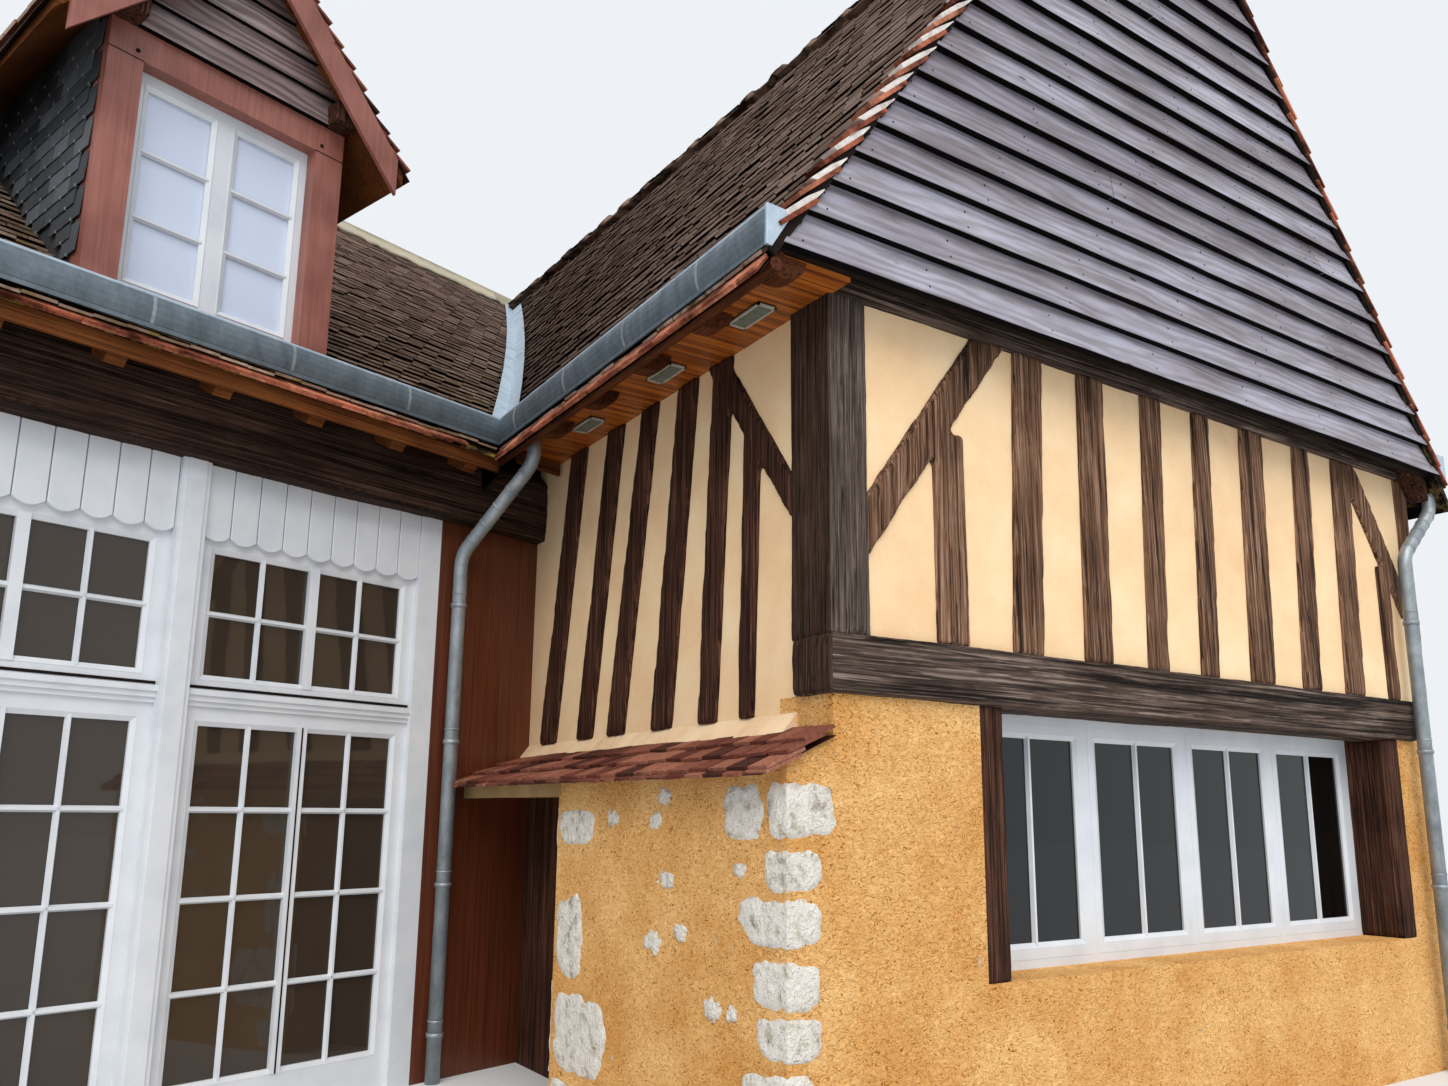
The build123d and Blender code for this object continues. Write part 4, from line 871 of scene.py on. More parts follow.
class HOUSE_OT_pentice(bpy.types.Operator):
    """Lay a double first course and two more courses on the small roof over the thick masonry"""
    bl_idname = "house.pentice"
    bl_label = "Pentice tiles"

    def execute(self, context):
        dice = random.Random(5)
        shape = Shape()
        top, foot, out_at_front, thick = 2.19, 1.99, 0.44, 0.018
        for share, lift in ((1.0, 0.002), (0.97, 0.022), (0.70, 0.040), (0.42, 0.056)):
            v = -0.05
            while v < 3.98:
                wide = dice.uniform(0.15, 0.19)
                out = out_at_front + SPLAY * v
                fall = (top - foot) / out
                reach = out * share
                place = (GABLE @ Matrix.Translation((-reach, v + wide / 2, top - reach * fall + lift))
                         @ Matrix.Rotation(-math.atan(fall) + dice.uniform(0.0, 0.04), 4, "Y")
                         @ Matrix.Rotation(dice.uniform(-0.02, 0.03), 4, "X")
                         @ Matrix.Rotation(dice.uniform(-0.04, 0.04), 4, "Z"))
                tone = dice.random()
                shape.box(place, (dice.uniform(-0.02, 0.006), -wide / 2 + 0.003, 0),
                          (min(0.24, reach - 0.01), wide / 2 - 0.004, thick), tone)
                v += wide
        shape.stop_at_left_wing()
        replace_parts(shape.piece("pentice_courses", "tile_pentice", "clay_tile"), "pentice")
        base = merged_copy("pentice")
        for vert in base.verts:
            local = GABLE.inverted() @ vert.co
            under = top + local.x * (top - foot) / (out_at_front + SPLAY * local.y)
            if local.z > under + 0.03:
                vert.co.z -= 0.05
        finished("pentice_bed", to_mesh("pentice_bed", base), "tile_pentice")
        return {"FINISHED"}


class HOUSE_OT_ridge(bpy.types.Operator):
    """Ridge tiles that follow the slopes, each swelling where it laps the next"""
    bl_idname = "house.ridge"
    bl_label = "Ridge"

    def execute(self, context):
        dice = random.Random(3)
        a, b = ridge_line()
        span = b - a
        count = round(span.length / 0.52)
        length = span.length / count
        direction = span.normalized()
        side = Vector((direction.y, -direction.x, 0))
        shape = Shape()
        for k in range(count):
            start = a + span * (k / count)
            tone = dice.random()
            bump = dice.uniform(0.045, 0.065)
            rings = []
            for t in (0.0, 0.07, 0.15, 0.23, 0.33, 0.5, 0.75, 1.0):
                swell = bump * math.exp(-((t - 0.15) / 0.11) ** 2)
                rings.append([])
                for x in (-0.17, -0.115, -0.07, -0.035, 0.0, 0.035, 0.07, 0.115, 0.17):
                    out = x * (1 + swell * 1.5)
                    drop = BOARD_SLOPE * (math.hypot(out, 0.05) - 0.05)
                    rough = 0.012 * noise.noise(Vector((k * 7 + t * 5, x * 20, 1)))
                    rings[-1].append(start + direction * length * t + side * out
                                     + Vector((0, 0, 0.012 + swell + rough - drop)))
            shape.loft(rings, tone)
        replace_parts(shape.piece("ridge_tiles", "tile_ridge", "clay_tile", True), "ridge_cap")
        return {"FINISHED"}


class HOUSE_OT_verges(bpy.types.Operator):
    """Orange verge tiles and wedges of mortar along the gable's edges"""
    bl_idname = "house.verges"
    bl_label = "Verges"

    def execute(self, context):
        dice = random.Random(8)
        tiles, mortar, gap_shade = Shape(), Shape(), Shape()
        step = 0.276
        length = (BOARD_RIGHT - BOARD_LEFT) / 2 / math.cos(PITCH)
        for side in (1, -1):
            corner = BOARD_LEFT if side > 0 else BOARD_RIGHT
            turned = GABLE @ Matrix.Translation((corner, BOARD_PLANE, BOARD_FOOT))
            if side < 0:
                turned = turned @ Matrix.Rotation(math.pi, 4, "Z")
            turned = turned @ Matrix.Rotation(-PITCH, 4, "Y")
            # On the left the units gape; on the right they lie close.
            tilt, rise, thick = (0.235, 0.078, 0.024) if side > 0 else (0.15, 0.052, 0.02)
            def depth(near, far):
                return sorted((side * -near, side * -far))
            near, far = depth(0.052, 0.03)
            # A dark strip behind each verge's units: painted shade, so the gaps between them look black.
            gap_shade.box(turned, (-0.1, near, -0.004), (length, far, 0.05))
            for k in range(0 if side > 0 else -1, int(length / step) + 1):
                start = k * step
                tip = (Matrix.Translation((start, 0, rise + dice.uniform(-0.004, 0.004)))
                       @ Matrix.Rotation(tilt + dice.uniform(-0.02, 0.02), 4, "Y"))
                tone = dice.random()
                long = min(0.355, length - start + 0.03)
                near, far = depth(0.066 + dice.uniform(0, 0.006), -0.09)
                low = 0.16 if k < 0 else 0.05 if k == 0 else dice.uniform(-0.01, 0.01)
                if long > low + 0.05:
                    tiles.box(turned @ tip, (low, near, 0), (long, far, thick), tone)
                if side < 0 or k < 0 or start + 0.46 > length:
                    continue
                near, far = depth(0.062, -0.05)
                end = 0.45 + dice.uniform(-0.02, 0.02)
                outline = [(0.14 + dice.uniform(-0.03, 0.03), 0.025), (0.36, 0.024), (end, 0.034),
                           (end + 0.01, 0.04), (0.31, 0.055), (0.13, 0.052)]
                for vert in mortar.prism(turned @ tip, outline, near, far):
                    vert.co += Vector((dice.uniform(-1, 1), 0, dice.uniform(-1, 1))) * 0.002
        tiles.piece("verge_tiles", "tile_verge", "clay_tile")
        mortar.piece("verge_mortar", "mortar", "clay_tile")
        gap_shade.piece("verge_painted_shade", "shade", "weatherboard")
        return {"FINISHED"}


class HOUSE_OT_weatherboards(bpy.types.Operator):
    """Lap the gable's boards from the foot to the apex, and the dormer's"""
    bl_idname = "house.weatherboards"
    bl_label = "Weatherboards"

    def execute(self, context):
        s = settings("boards")
        dice = random.Random(21)
        shape, nails = Shape(), Shape()
        apex = BOARD_FOOT + (BOARD_RIGHT - BOARD_LEFT) / 2 * BOARD_SLOPE
        # Where a board is made of two lengths, and how far along they meet.
        butts = {3: 0.83, 5: 0.36, 6: 0.88, 9: 0.78, 12: 0.45, 15: 0.63}
        for k in range(int((apex - BOARD_FOOT) / s.exposure) + 1):
            low = BOARD_FOOT + k * s.exposure
            high = min(low + s.exposure + 0.02, apex - 0.004)
            joints = [0.0, butts[k], 1.0] if k in butts else [0.0, 1.0]
            for start, end in zip(joints, joints[1:]):
                self.board(shape, nails, low, high, start, end, s.thickness, dice)
        self.shaded(shape.piece("gable_weatherboards", "boards", "weatherboard"))
        nails.piece("board_nails", "shade", "weatherboard")
        shape = Shape()
        low, exposure = DORMER_PLATE, 0.2
        while low < 7.35:
            high = min(low + exposure + 0.02, DORMER_APEX - 0.005)
            tone = dice.random()
            left, right = (min(max((DORMER_APEX - z) / 1.125, 0.01), 0.7) for z in (low, high))
            outline = [(-left, low, 0.044), (left, low, 0.044), (right, high, 0.006), (-right, high, 0.006)]
            shape.loft([[WING @ Vector((DORMER + a, DORMER_FACE - out, z)) for a, z, out in outline],
                        [WING @ Vector((DORMER + a, DORMER_FACE, z)) for a, z, out in outline]], tone)
            low += exposure
        self.shaded(shape.piece("dormer_weatherboards", "boards_dormer", "weatherboard"))
        return {"FINISHED"}

    def shaded(self, piece):
        """Black under the laps, where no light gets in."""
        second_finish(piece, "underside", lambda normal: normal.z < -0.9)

    def board(self, shape, nails, low, high, start, end, thickness, dice):
        """One board: its lower edge stands out and waves a little, its ends follow the slopes."""
        def along(z, t):
            inset = (z - BOARD_FOOT) / BOARD_SLOPE - 0.006
            left, right = BOARD_LEFT + inset, BOARD_RIGHT - inset
            return left + (right - left) * t
        columns = max(2, int((along(low, 1) - along(low, 0)) * (end - start) / 0.12))
        phase, tone = dice.uniform(0, 50), dice.random()
        gap = 0.0025
        rings = []
        for k in range(columns + 1):
            t = start + (end - start) * k / columns
            trim = (gap if k == 0 and start else 0.0) - (gap if k == columns and end < 1 else 0.0)
            x_low, x_high = along(low, t) + trim, along(high, t) + trim
            edge = low + 0.005 * noise.noise(Vector((x_low * 1.7 + phase, 0, low)))
            out = BOARD_PLANE - thickness - 0.004 * noise.noise(Vector((x_low * 1.1 + phase, 3, low)))
            rings.append([GABLE @ Vector(p) for p in (
                (x_low, BOARD_PLANE, edge), (x_low, out, edge), (x_low, out - 0.001, edge + 0.005),
                (x_high, BOARD_PLANE - 0.006, high), (x_high, BOARD_PLANE, high))])
            if k in (1, columns - 1) or (k % 8 == 0 and 0 < k < columns):
                for rise in (0.045, 0.15):
                    if low + rise < high - 0.03:
                        y = out + rise / (high - low) * (thickness - 0.006)
                        nails.box(GABLE, (x_low - 0.005, y - 0.003, low + rise - 0.005),
                                  (x_low + 0.005, y + 0.004, low + rise + 0.005))
        shape.loft(rings, tone)


class HOUSE_OT_timbers(bpy.types.Operator):
    """Hew the posts, studs, plates and beams"""
    bl_idname = "house.timbers"
    bl_label = "Timbers"

    def execute(self, context):
        hewn("front_beam", "oak_level", 0.02, 0.024, "X", lee="oak_lee")
        hewn("corner_post", "oak_upright", 0.017, 0.014, grooves=0.004, lee="oak_lee")
        hewn("front_studs", "oak_stud", 0.018, 0.014)
        hewn("front_plate", "oak_level", 0.022, 0.024, "X")
        hewn("side_studs", "oak_side", 0.022, 0.008)
        hewn("window_posts", "oak_side", 0.02, 0.006)
        hewn("left_beam", "oak_lintel", 0.025, 0.035, "X", WING_TURN)
        hewn("dormer_purlins", "oak_side", 0.016, 0.004, "Y", WING_TURN)
        return {"FINISHED"}


def glazed(bars, place, low, high, depth, columns, rows):
    """The moulding round one light and its glazing bars: low and high are its corners, depth its front."""
    s = settings("joinery")
    m = s.moulding
    (x0, z0), (x1, z1) = low, high
    outer = [(x0, z0, -0.008), (x0, z1, -0.008), (x1, z1, -0.008), (x1, z0, -0.008)]
    inner = [(x0 + m, z0 + m, 0.006), (x0 + m, z1 - m, 0.006), (x1 - m, z1 - m, 0.006),
             (x1 - m, z0 + m, 0.006)]
    for i in range(4):
        k = (i + 1) % 4
        side = (outer[i], outer[k], inner[k], inner[i])
        bars.loft([[place @ Vector((x, depth + back, z)) for x, z, back in side],
                   [place @ Vector((x, depth + 0.03, z)) for x, z, back in side]])
    section = [(-s.bar / 2, 0.02), (-s.bar / 5, -0.004), (s.bar / 5, -0.004), (s.bar / 2, 0.02)]
    for k in range(1, columns):
        x = x0 + (x1 - x0) * k / columns
        bars.prism(place, [(x + a, depth + b) for a, b in section], z0 + m / 2, z1 - m / 2, "Z")
    for k in range(1, rows):
        z = z0 + (z1 - z0) * k / rows
        bars.prism(place, [(depth + b, z + a) for a, b in section], x0 + m / 2, x1 - m / 2, "X")


class HOUSE_OT_joinery(bpy.types.Operator):
    """Mouldings, glazing bars and the valance of the white joinery, and the dormer frame's joints"""
    bl_idname = "house.joinery"
    bl_label = "Joinery"

    def execute(self, context):
        bars = Shape()
        self.window_band(bars)
        self.shop_front(bars)
        joints = self.dormer(bars)
        bars.piece("glazing_bars", "white", "white_paint")
        joints.piece("dormer_joints", "shade", "redbrown_paint")
        self.valance()
        return {"FINISHED"}

    def window_band(self, bars):
        """Four sashes of two lights in the gable front."""
        left, right, jamb, stile, rail = 1.19, 5.28, 0.065, 0.045, 0.06
        foot, head = 1.0, 2.36
        light = (right - left - jamb) / 4
        half = (light - jamb) / 2
        inner = half - stile
        for k in range(4):
            middle = (left + right) / 2 + (k - 1.5) * light
            for x0, x1, z0, z1 in ((-half - 0.01, -inner, foot, head), (inner, half + 0.01, foot, head),
                                   (-inner, inner, foot, foot + rail), (-inner, inner, head - rail, head)):
                bars.box(GABLE, (middle + x0, 0.303, z0), (middle + x1, 0.335, z1))
            glazed(bars, GABLE, (middle - inner, foot + rail), (middle + inner, head - rail), 0.31, 2, 1)

    def shop_front(self, bars):
        """Each bay's tall leaves and top light, with the transom between them and the posts beside them."""
        slots = Shape()
        leaves, top_light = (0.23, 2.35), (2.60, 3.42)
        for number in range(2):
            centre = BAY_RIGHT - BAY / 2 - number * BAY_STEP
            def band(shape, half, front, back, low, high):
                shape.box(WING, (centre - half, front, low), (centre + half, back, high))
            for (low, high), rows in ((leaves, 4), (top_light, 2)):
                glazed(bars, WING, (centre - 0.7, low), (centre + 0.7, high), JOINERY_FACE + 0.006, 4, rows)
                # The middle stiles meet, so the middle bar is doubled.
                band(bars, 0.034, 3.694, 3.73, low, high)
            band(slots, 0.005, 3.691, JOINERY_FACE, *leaves)
            # The transom's drip moulding, in three steps, over a shadow gap.
            for out, low, high in ((3.655, 2.50, 2.535), (3.668, 2.465, 2.50), (3.682, 2.435, 2.465)):
                band(bars, BAY / 2, out, JOINERY_FACE, low, high)
            band(slots, BAY / 2, 3.692, JOINERY_FACE, 2.545, 2.562)
        for x in (-3.35, -1.62):
            bars.box(WING, (x, 3.63, 0.0), (x + 0.17, 3.67, JOINERY_TOP))
            bars.box(WING, (x + 0.03, 3.618, 0.0), (x + 0.14, 3.64, JOINERY_TOP))
        slots.piece("joinery_slots", "shade", "white_paint")

    def dormer(self, bars):
        """The dormer's two leaves; gives its frame's joint lines and pegs."""
        joints = Shape()
        rail, stile = 0.075, 0.0375
        half = (DORMER_LIGHT - stile) / 2 - stile
        for side in (-1, 1):
            middle = DORMER + side * DORMER_LIGHT / 2
            glazed(bars, WING, (middle - half, DORMER_SILL + rail), (middle + half, DORMER_HEAD - rail),
                   3.582, 1, 3)
            inner, outer = sorted((DORMER + side * DORMER_LIGHT, DORMER + side * DORMER_HALF))
            joints.box(WING, (inner, DORMER_FACE - 0.002, DORMER_HEAD - 0.003),
                       (outer, DORMER_FACE + 0.01, DORMER_HEAD + 0.003))
            centre, radius = DORMER + side * 0.60, 0.013
            peg = [(centre + radius * math.cos(turn), DORMER_HEAD + 0.05 + radius * math.sin(turn))
                   for turn in (k * math.pi / 4 for k in range(8))]
            joints.prism(WING, peg, DORMER_FACE - 0.006, DORMER_FACE + 0.01)
        return joints

    def valance(self):
        """Narrow boards with V joints and scalloped ends, in front of each bay's head."""
        depth = settings("boards").scallop
        shape = Shape()
        foot, gap, count = 3.455, 0.003, 9
        wide = BAY / count
        for number in range(2):
            for k in range(count):
                x0 = BAY_RIGHT - number * BAY_STEP - BAY + k * wide
                outline = [(x0 + gap, JOINERY_TOP), (x0 + gap, foot + depth)]
                outline += [(x0 + gap + (wide - 2 * gap) * t, foot + depth * (2 * t - 1) ** 2)
                            for t in (0.1, 0.2, 0.3, 0.4, 0.5, 0.6, 0.7, 0.8, 0.9)]
                outline += [(x0 + wide - gap, foot + depth), (x0 + wide - gap, JOINERY_TOP)]
                shape.prism(WING, outline, 3.664, JOINERY_FACE)
        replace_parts(shape.piece("valance_boards", "white", "white_paint", bevel=0.004), "valance")


class HOUSE_OT_slates(bpy.types.Operator):
    """Hang slates on the dormer's cheeks, each by a hook"""
    bl_idname = "house.slates"
    bl_label = "Slates"

    def execute(self, context):
        points = []
        gauge, wide = 0.11, 0.22
        rise = Vector((0, 0, 1))
        for side in (-1, 1):
            out = (WING.to_3x3() @ Vector((side, 0, 0))).normalized()
            level = 4.5
            row = 0
            while level < 6.4:
                depth = 3.66 + (wide / 2 if row % 2 else 0.0)
                while depth < 5.7:
                    # Slates hang only clear of the roof below them.
                    if level > 4.452 + (depth - LEFT_EAVES) * LEFT_SLOPE + 0.01:
                        along = INWARD.normalized()
                        normal = along.cross(rise).normalized()
                        if normal.dot(out) < 0:
                            along, normal = -along, -normal
                        turn = Matrix((along, rise, normal)).transposed().to_euler()
                        at = WING @ Vector((DORMER + side * DORMER_HALF, depth, level))
                        points.append((at, tuple(turn), (1, 1, 1)))
                    depth += wide
                level += gauge
                row += 1
        lay("cheek_slates", points, {"Width": 0.215, "Length": 0.2, "Thickness": 0.005, "Lift": 0.012,
                                     "Jitter": 0.012}, "slate", 31)
        hooks = Shape()
        for at, turn, _ in points:
            place = Matrix.Translation(at) @ Euler(turn).to_matrix().to_4x4()
            hooks.box(place, (-0.003, -0.005, 0.006), (0.003, 0.014, 0.021))
        hooks.piece("slate_hooks", "zinc_pipe", "slate")
        return {"FINISHED"}


class HOUSE_OT_rainwater(bpy.types.Operator):
    """Beads, bowed fronts, seams and ends of the gutters, and round downpipes with collars"""
    bl_idname = "house.rainwater"
    bl_label = "Rainwater goods"

    def execute(self, context):
        # The beads' lines: the gable wing's left gutter, the left wing's and the gable wing's right one.
        side_x = EAVES_LEFT + 0.056 / BOARD_SLOPE - 0.004
        right_x = EAVES_RIGHT - 0.056 / BOARD_SLOPE + 0.004
        left_v = LEFT_EAVES + 0.056 / LEFT_SLOPE - 0.004
        mitre = WING.inverted() @ (GABLE @ Vector((side_x, 3.25, GUTTER_TOP)))
        corner = WING @ Vector((mitre.x, left_v, GUTTER_TOP))
        turn = GABLE @ Vector((side_x, (GABLE.inverted() @ corner).y, GUTTER_TOP))
        beads, radius, back = Shape(), 0.013, 11.8
        beads.tube([GABLE @ Vector((side_x, -0.27, GUTTER_TOP)), turn,
                    WING @ Vector((LEFT_END, left_v, GUTTER_TOP))], radius, 10)
        beads.tube([GABLE @ Vector((right_x, v, GUTTER_TOP)) for v in (-0.27, back)], radius, 10)
        # The beads take the pale zinc: a painted highlight along the gutters' tops.
        beads.piece("gutter_beads", "zinc_pale", "zinc")
        # The fronts: a bowed sheet from bead to sole, as (out, height) below the bead.
        bow = [(0.0, 0.0), (0.014, 0.012), (0.024, 0.045), (0.027, 0.085), (0.022, 0.125), (0.008, 0.165),
               (-0.012, 0.195)]
        bow = [(b, GUTTER_TOP - drop) for b, drop in bow]
        along_left = -INWARD
        out, right = Vector((-1, 0, 0)), Vector((1, 0, 0))
        across = (out + along_left).normalized() / math.cos(WING_TURN / 2 + math.pi / 4)
        turn = Vector((turn.x, turn.y, 0))
        fronts = Shape()
        for start, first, stop, second in (
                (GABLE @ Vector((side_x, GUTTER_END, 0)), out, turn, across),
                (turn, across, WING @ Vector((LEFT_END, left_v, 0)), along_left),
                (GABLE @ Vector((right_x, GUTTER_END, 0)), right, GABLE @ Vector((right_x, back, 0)), right)):
            section = bow + [(-0.004, bow[-1][1]), (-0.004, GUTTER_TOP)]
            fronts.loft([[at + way * b + Vector((0, 0, z)) for b, z in section]
                         for at, way in ((start, first), (stop, second))])
        fronts.piece("gutter_fronts", "zinc", "zinc")
        # Raised seams over the sheet.
        seams = Shape()
        for frame_of, line, axis, places in ((GABLE, side_x, "Y", (0.35, 1.2, 2.05, 2.9)),
                                             (WING, left_v, "X", (-0.35, -1.2, -2.05, -2.9))):
            rim = [(line - b - 0.003, z) for b, z in bow] + [(line, GUTTER_TOP - 0.19), (line, GUTTER_TOP)]
            for place in places:
                seams.prism(frame_of, rim, place, place + 0.02, axis)
        seams.piece("gutter_seams", "zinc_pipe", "zinc")
        # The gutters' front ends are closed by plates that follow the slope.
        caps = Shape()
        cap = ((-0.012, 4.505), (0.02, 4.50), (0.15, 4.715), (-0.012, 4.722))
        for x, side in ((side_x, 1), (right_x, -1)):
            caps.prism(GABLE, [(x + side * a, z) for a, z in cap], GUTTER_END - 0.022, GUTTER_END)
        caps.piece("gutter_ends", "zinc_pale", "zinc", bevel=0.002)
        self.pipes()
        return {"FINISHED"}

    def pipes(self):
        """Smooth pipes on the CAD pipes' lines, with collars and clips."""
        shape = Shape()
        sides, radius, elbow = 24, 0.05, 0.09
        for head, drop, knee in (
                (GABLE @ Vector((6.08, -0.15, 4.42)), 4.28, GABLE @ Vector((5.65, -0.11, 3.85))),
                (GABLE @ Vector((-0.42, 2.96, 4.52)), 4.33, WING @ Vector((0.415, 3.58, 3.7)))):
            bend, foot = Vector((head.x, head.y, drop)), Vector((knee.x, knee.y, 0))
            line = [head]
            for before, corner, after in ((head, bend, knee), (bend, knee, foot)):
                back, on = (before - corner).normalized() * elbow, (after - corner).normalized() * elbow
                line += [(corner + back * (1 - t)).lerp(corner + on * t, t)
                         for t in (0.0, 0.2, 0.4, 0.6, 0.8, 1.0)]
            shape.tube(line + [foot], radius, sides)
            slant = (knee - bend).normalized()
            for share in (0.12, 0.30, 0.48, 0.66, 0.84):
                at = bend.lerp(knee, share)
                shape.tube([at - slant * 0.006, at + slant * 0.006], 0.0535, sides)
            for z in (0.3, 1.3, 2.3, 3.3):
                for low, high, wide in ((z, z + 0.03, 0.058), (z + 0.10, z + 0.112, 0.054)):
                    shape.tube([Vector((foot.x, foot.y, low)), Vector((foot.x, foot.y, high))], wide, sides)
        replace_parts(shape.piece("round_downpipes", "zinc_pipe", "zinc", True), "downpipes")


class HOUSE_OT_stonework(bpy.types.Operator):
    """Limestone blocks showing at the masonry's corner and beside the recess, and the recess's lintel"""
    bl_idname = "house.stonework"
    bl_label = "Stonework"

    def execute(self, context):
        dice = random.Random(41)
        shape = Shape()
        # Blocks on the side masonry: depth from, depth to, foot, head, reach on the front.
        for block in ((0.0, 0.15, 1.70, 1.96, 0.31), (0.0, 0.17, 1.45, 1.65, 0.2),
                      (0.0, 0.36, 1.20, 1.42, 0.2), (0.0, 0.24, 0.92, 1.14, 0.2),
                      (0.0, 0.22, 0.70, 0.89, 0.22), (0.0, 0.34, 0.40, 0.64, 0.18),
                      (0.0, 0.2, 0.08, 0.33, 0.3), (0.18, 0.49, 1.68, 1.96, 0),
                      (1.77, 2.215, 1.63, 1.83, 0), (1.88, 2.19, 0.84, 1.32, 0),
                      (1.58, 2.20, 0.32, 0.77, 0), (1.9, 2.2, 0.05, 0.26, 0), (0.97, 1.09, 1.86, 1.95, 0),
                      (1.5, 1.63, 1.74, 1.83, 0), (1.06, 1.17, 1.73, 1.82, 0), (0.92, 1.07, 1.42, 1.51, 0),
                      (0.31, 0.41, 1.5, 1.58, 0), (1.04, 1.2, 1.08, 1.19, 0), (0.8, 0.92, 1.16, 1.25, 0),
                      (0.5, 0.65, 0.81, 0.92, 0), (0.37, 0.46, 0.82, 0.9, 0)):
            self.stone(shape.bm, *block, dice)
        shape.piece("limestone_blocks", "stone", "ochre_render", True)
        # The recess has a smooth rendered lintel.
        lintel = Shape()
        outline = ((2.2, 1.918), (3.9, 1.918), (3.9, 2.03), (2.2, 2.0))
        lintel.loft([[GABLE @ Vector((-MASONRY_OUT - SPLAY * v - proud, v, z)) for v, z in outline]
                     for proud in (0.006, -0.02)])
        lintel.stop_at_left_wing()
        lintel.piece("recess_lintel", "lintel_stone", "ochre_render")
        return {"FINISHED"}

    def stone(self, bm, v0, v1, z0, z1, reach, dice):
        """One block, its outline ragged where it sinks into the render; reach is its part on the front."""
        seed = Vector((dice.uniform(0, 90), dice.uniform(0, 90), 0))
        tall = z1 - z0
        for wrap in ((False, True) if reach else (False,)):
            wide = reach if wrap else v1 - v0
            columns, rows = max(10, int(wide / 0.02)), max(10, int(tall / 0.02))
            small = wide < 0.17 and not reach
            power, ragged, bite = (2.2, 0.55, 26) if small else (4, 0.16, 7)
            spare = 0.0 if reach else 0.08
            grid = []
            for i in range(columns + 1):
                grid.append([])
                for k in range(rows + 1):
                    s, t = -spare + i / columns * (1.08 + spare), -0.08 + 1.16 * k / rows
                    across = s if reach else 2 * s - 1
                    span = (abs(across) ** power + abs(2 * t - 1) ** power) ** (1 / power)
                    at = Vector((s * wide * bite, t * tall * bite, wrap * 3)) + seed
                    span += ragged * (noise.noise(at) + 0.5 * noise.noise(at * 2.7))
                    depth = max(-0.012, min(0.009, (0.97 - span) * 0.13)) + 0.006 * noise.noise(at * 1.7)
                    z = z0 + tall * t
                    # Where a block turns the corner, both of its faces share one edge.
                    turning = reach and i == 0
                    if turning:
                        swell = noise.noise(Vector((0, t * tall * bite, 9)) + seed)
                        span = abs(2 * t - 1) + 0.1 * swell
                        depth = max(-0.012, min(0.009, (0.97 - span) * 0.13)) + 0.005 * swell
                    if wrap:
                        spot = Vector((-MASONRY_OUT + (-depth if turning else s * wide), -depth, z))
                    else:
                        v = v0 if turning else v0 + s * wide
                        spot = Vector((-MASONRY_OUT - SPLAY * v - depth, v - (depth if turning else 0.0), z))
                    grid[-1].append(bm.verts.new(GABLE @ spot))
            for i in range(columns):
                for k in range(rows):
                    bm.faces.new([grid[i][k], grid[i + 1][k], grid[i + 1][k + 1], grid[i][k + 1]])


class HOUSE_OT_eaves(bpy.types.Operator):
    """Frames and slats of the soffit vents"""
    bl_idname = "house.eaves"
    bl_label = "Eaves details"

    def execute(self, context):
        slats, frames = Shape(), Shape()
        left, right, long = -0.279, -0.161, 0.155
        for v in (0.41, 1.37, 2.48):
            for k in range(8):
                at = -0.262 + k * 0.012
                slats.box(GABLE, (at - 0.0035, v - 0.135, 4.501), (at + 0.0035, v + 0.135, 4.507))
            for x0, y0, x1, y1 in ((left, -long, left + 0.012, long), (right - 0.012, -long, right, long),
                                   (left, -long, right, 0.017 - long), (left, long - 0.017, right, long)):
                frames.box(GABLE, (x0, v + y0, 4.499), (x1, v + y1, 4.5085))
        slats.piece("vent_slats", "vent_slat", "grey_vent")
        frames.piece("vent_frames", "vent", "grey_vent")
        return {"FINISHED"}


class HOUSE_OT_flashing(bpy.types.Operator):
    """Rendered fillet where the left roof meets the party wall"""
    bl_idname = "house.flashing"
    bl_label = "Flashing"

    def execute(self, context):
        dice = random.Random(51)
        edge = [WING.inverted() @ v.co for v in NODES["valley_zinc"].data.vertices]
        end = min(v.x for v in edge if v.y > max(w.y for w in edge) - 0.3)
        step, rings = 0.1, []
        for k in range(int((end - LEFT_END) / step)):
            a = LEFT_END + k * step
            low = LEFT_BACK - 0.12 * LEFT_SLOPE + dice.uniform(-0.012, 0.012)
            near, top = 9.25 + dice.uniform(-0.02, 0.02), 9.48 + dice.uniform(-0.01, 0.01)
            rings.append([WING @ Vector((a, v, z))
                          for v, z in ((near, low), (9.33, low + 0.085), (9.375, top), (9.39, low))])
        shape = Shape()
        shape.loft(rings)
        shape.piece("mortar_flashing", "party", "party_render", True)
        return {"FINISHED"}


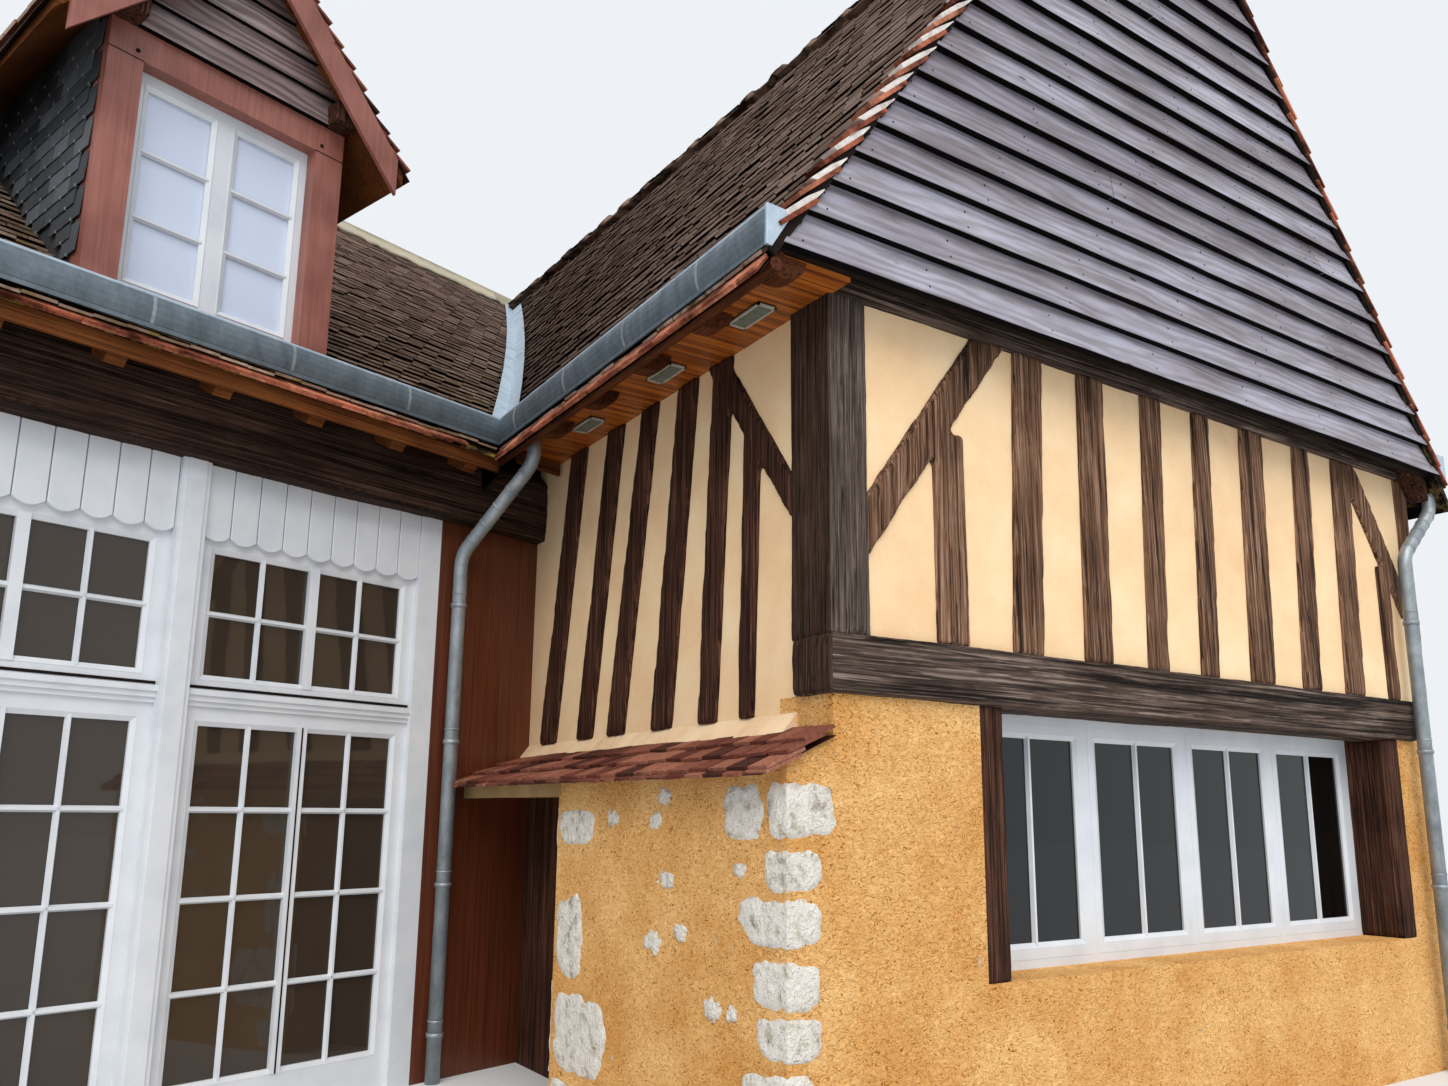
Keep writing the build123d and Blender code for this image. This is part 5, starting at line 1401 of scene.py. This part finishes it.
class HOUSE_OT_stage(bpy.types.Operator):
    """Floor, soft light, pale sky and the camera"""
    bl_idname = "house.stage"
    bl_label = "Stage"

    def execute(self, context):
        s = settings("light")
        scene = context.scene
        scene.view_settings.view_transform = "Standard"
        mesh = bpy.data.meshes.new("pale_floor")
        mesh.from_pydata([(-60, -60, 0), (60, -60, 0), (60, 60, 0), (-60, 60, 0)], [], [(0, 1, 2, 3)])
        floor = linked("pale_floor", mesh)
        shader = new_finish("floor", "pale_floor", 0.9)[1]
        shader.inputs["Base Color"].default_value = colour("dcdcdc")
        mesh.materials.append(FINISH["floor"])
        world = bpy.data.worlds.new("pale_sky")
        world.use_nodes = True
        scene.world = world
        tree = world.node_tree
        back = tree.nodes["Background"]
        # The camera, mirrors and glass see a pale sky; the rest of the light is bluer.
        ray = put(tree, "ShaderNodeLightPath").outputs
        seen = maths(tree, "MAXIMUM", maths(tree, "MAXIMUM", ray["Is Camera Ray"], ray["Is Glossy Ray"]),
                     ray["Is Transmission Ray"])
        tree.links.new(blend(tree, "MIX", seen, colour("dfe8f4"), "eef2f6"), back.inputs["Color"])
        power = put(tree, "ShaderNodeMapRange", {"Value": seen, "To Min": s.sky, "To Max": 1.0})
        tree.links.new(power.outputs[0], back.inputs["Strength"])
        lamp = bpy.data.lights.new("soft_key", "SUN")
        lamp.energy = s.key
        lamp.angle = math.radians(50)
        lamp.color = (1.0, 0.97, 0.93)
        light = bpy.data.objects.new("soft_key", lamp)
        light.rotation_euler = (math.radians(42), 0, math.radians(-32))
        scene.collection.objects.link(light)
        self.camera(scene)
        return {"FINISHED"}

    def camera(self, scene):
        """The photograph's standing place, turn and lens, with the frame's small shift."""
        data = bpy.data.cameras.new("street_camera")
        # The photograph's width and the lens's length in its pixels, and its middle's place off the axis.
        wide, focal, aside, above = 1448, 1092, -22, 63
        data.sensor_width = 36.0
        data.lens = data.sensor_width * focal / wide
        data.shift_x = aside / wide
        data.shift_y = above / wide
        data.clip_end = 200
        camera = bpy.data.objects.new("street_camera", data)
        scene.collection.objects.link(camera)
        yaw, pitch, roll = math.radians(56.51), math.radians(10.91), math.radians(0.34)
        ahead = Vector((math.cos(yaw) * math.cos(pitch), math.sin(yaw) * math.cos(pitch), math.sin(pitch)))
        right = Vector((math.sin(yaw), -math.cos(yaw), 0))
        up = right.cross(ahead)
        across = right * math.cos(roll) + up * math.sin(roll)
        upwards = up * math.cos(roll) - right * math.sin(roll)
        turn = Matrix((across, upwards, -ahead)).transposed()
        camera.matrix_world = Matrix.Translation((-6.305, -4.476, 1.8)) @ turn.to_4x4()
        scene.camera = camera


class HOUSE_PT_panel(bpy.types.Panel):
    """Buttons for each group of pieces"""
    bl_label = "Half-timbered house"
    bl_idname = "HOUSE_PT_panel"
    bl_space_type = "VIEW_3D"
    bl_region_type = "UI"
    bl_category = "House"

    def draw(self, context):
        for operator in OPERATORS:
            self.layout.operator(operator.bl_idname)


SETTINGS = (("tiles", TileSettings), ("boards", BoardSettings), ("joinery", JoinerySettings),
            ("light", LightSettings))
OPERATORS = (HOUSE_OT_finishes, HOUSE_OT_roof_tiles, HOUSE_OT_pentice, HOUSE_OT_ridge, HOUSE_OT_verges,
             HOUSE_OT_weatherboards, HOUSE_OT_timbers, HOUSE_OT_joinery, HOUSE_OT_slates, HOUSE_OT_rainwater,
             HOUSE_OT_stonework, HOUSE_OT_eaves, HOUSE_OT_flashing, HOUSE_OT_stage)


def register():
    for name, group in SETTINGS:
        bpy.utils.register_class(group)
        setattr(bpy.types.Scene, "house_" + name, PointerProperty(type=group))
    for cls in OPERATORS + (HOUSE_PT_panel,):
        bpy.utils.register_class(cls)


def unregister():
    for cls in reversed(OPERATORS + (HOUSE_PT_panel,)):
        bpy.utils.unregister_class(cls)
    for name, group in reversed(SETTINGS):
        delattr(bpy.types.Scene, "house_" + name)
        bpy.utils.unregister_class(group)


def main():
    """Register, and make every group of pieces in order."""
    register()
    for operator in OPERATORS:
        group, name = operator.bl_idname.split(".")
        getattr(getattr(bpy.ops, group), name)()


if __name__ == "__main__":
    main()
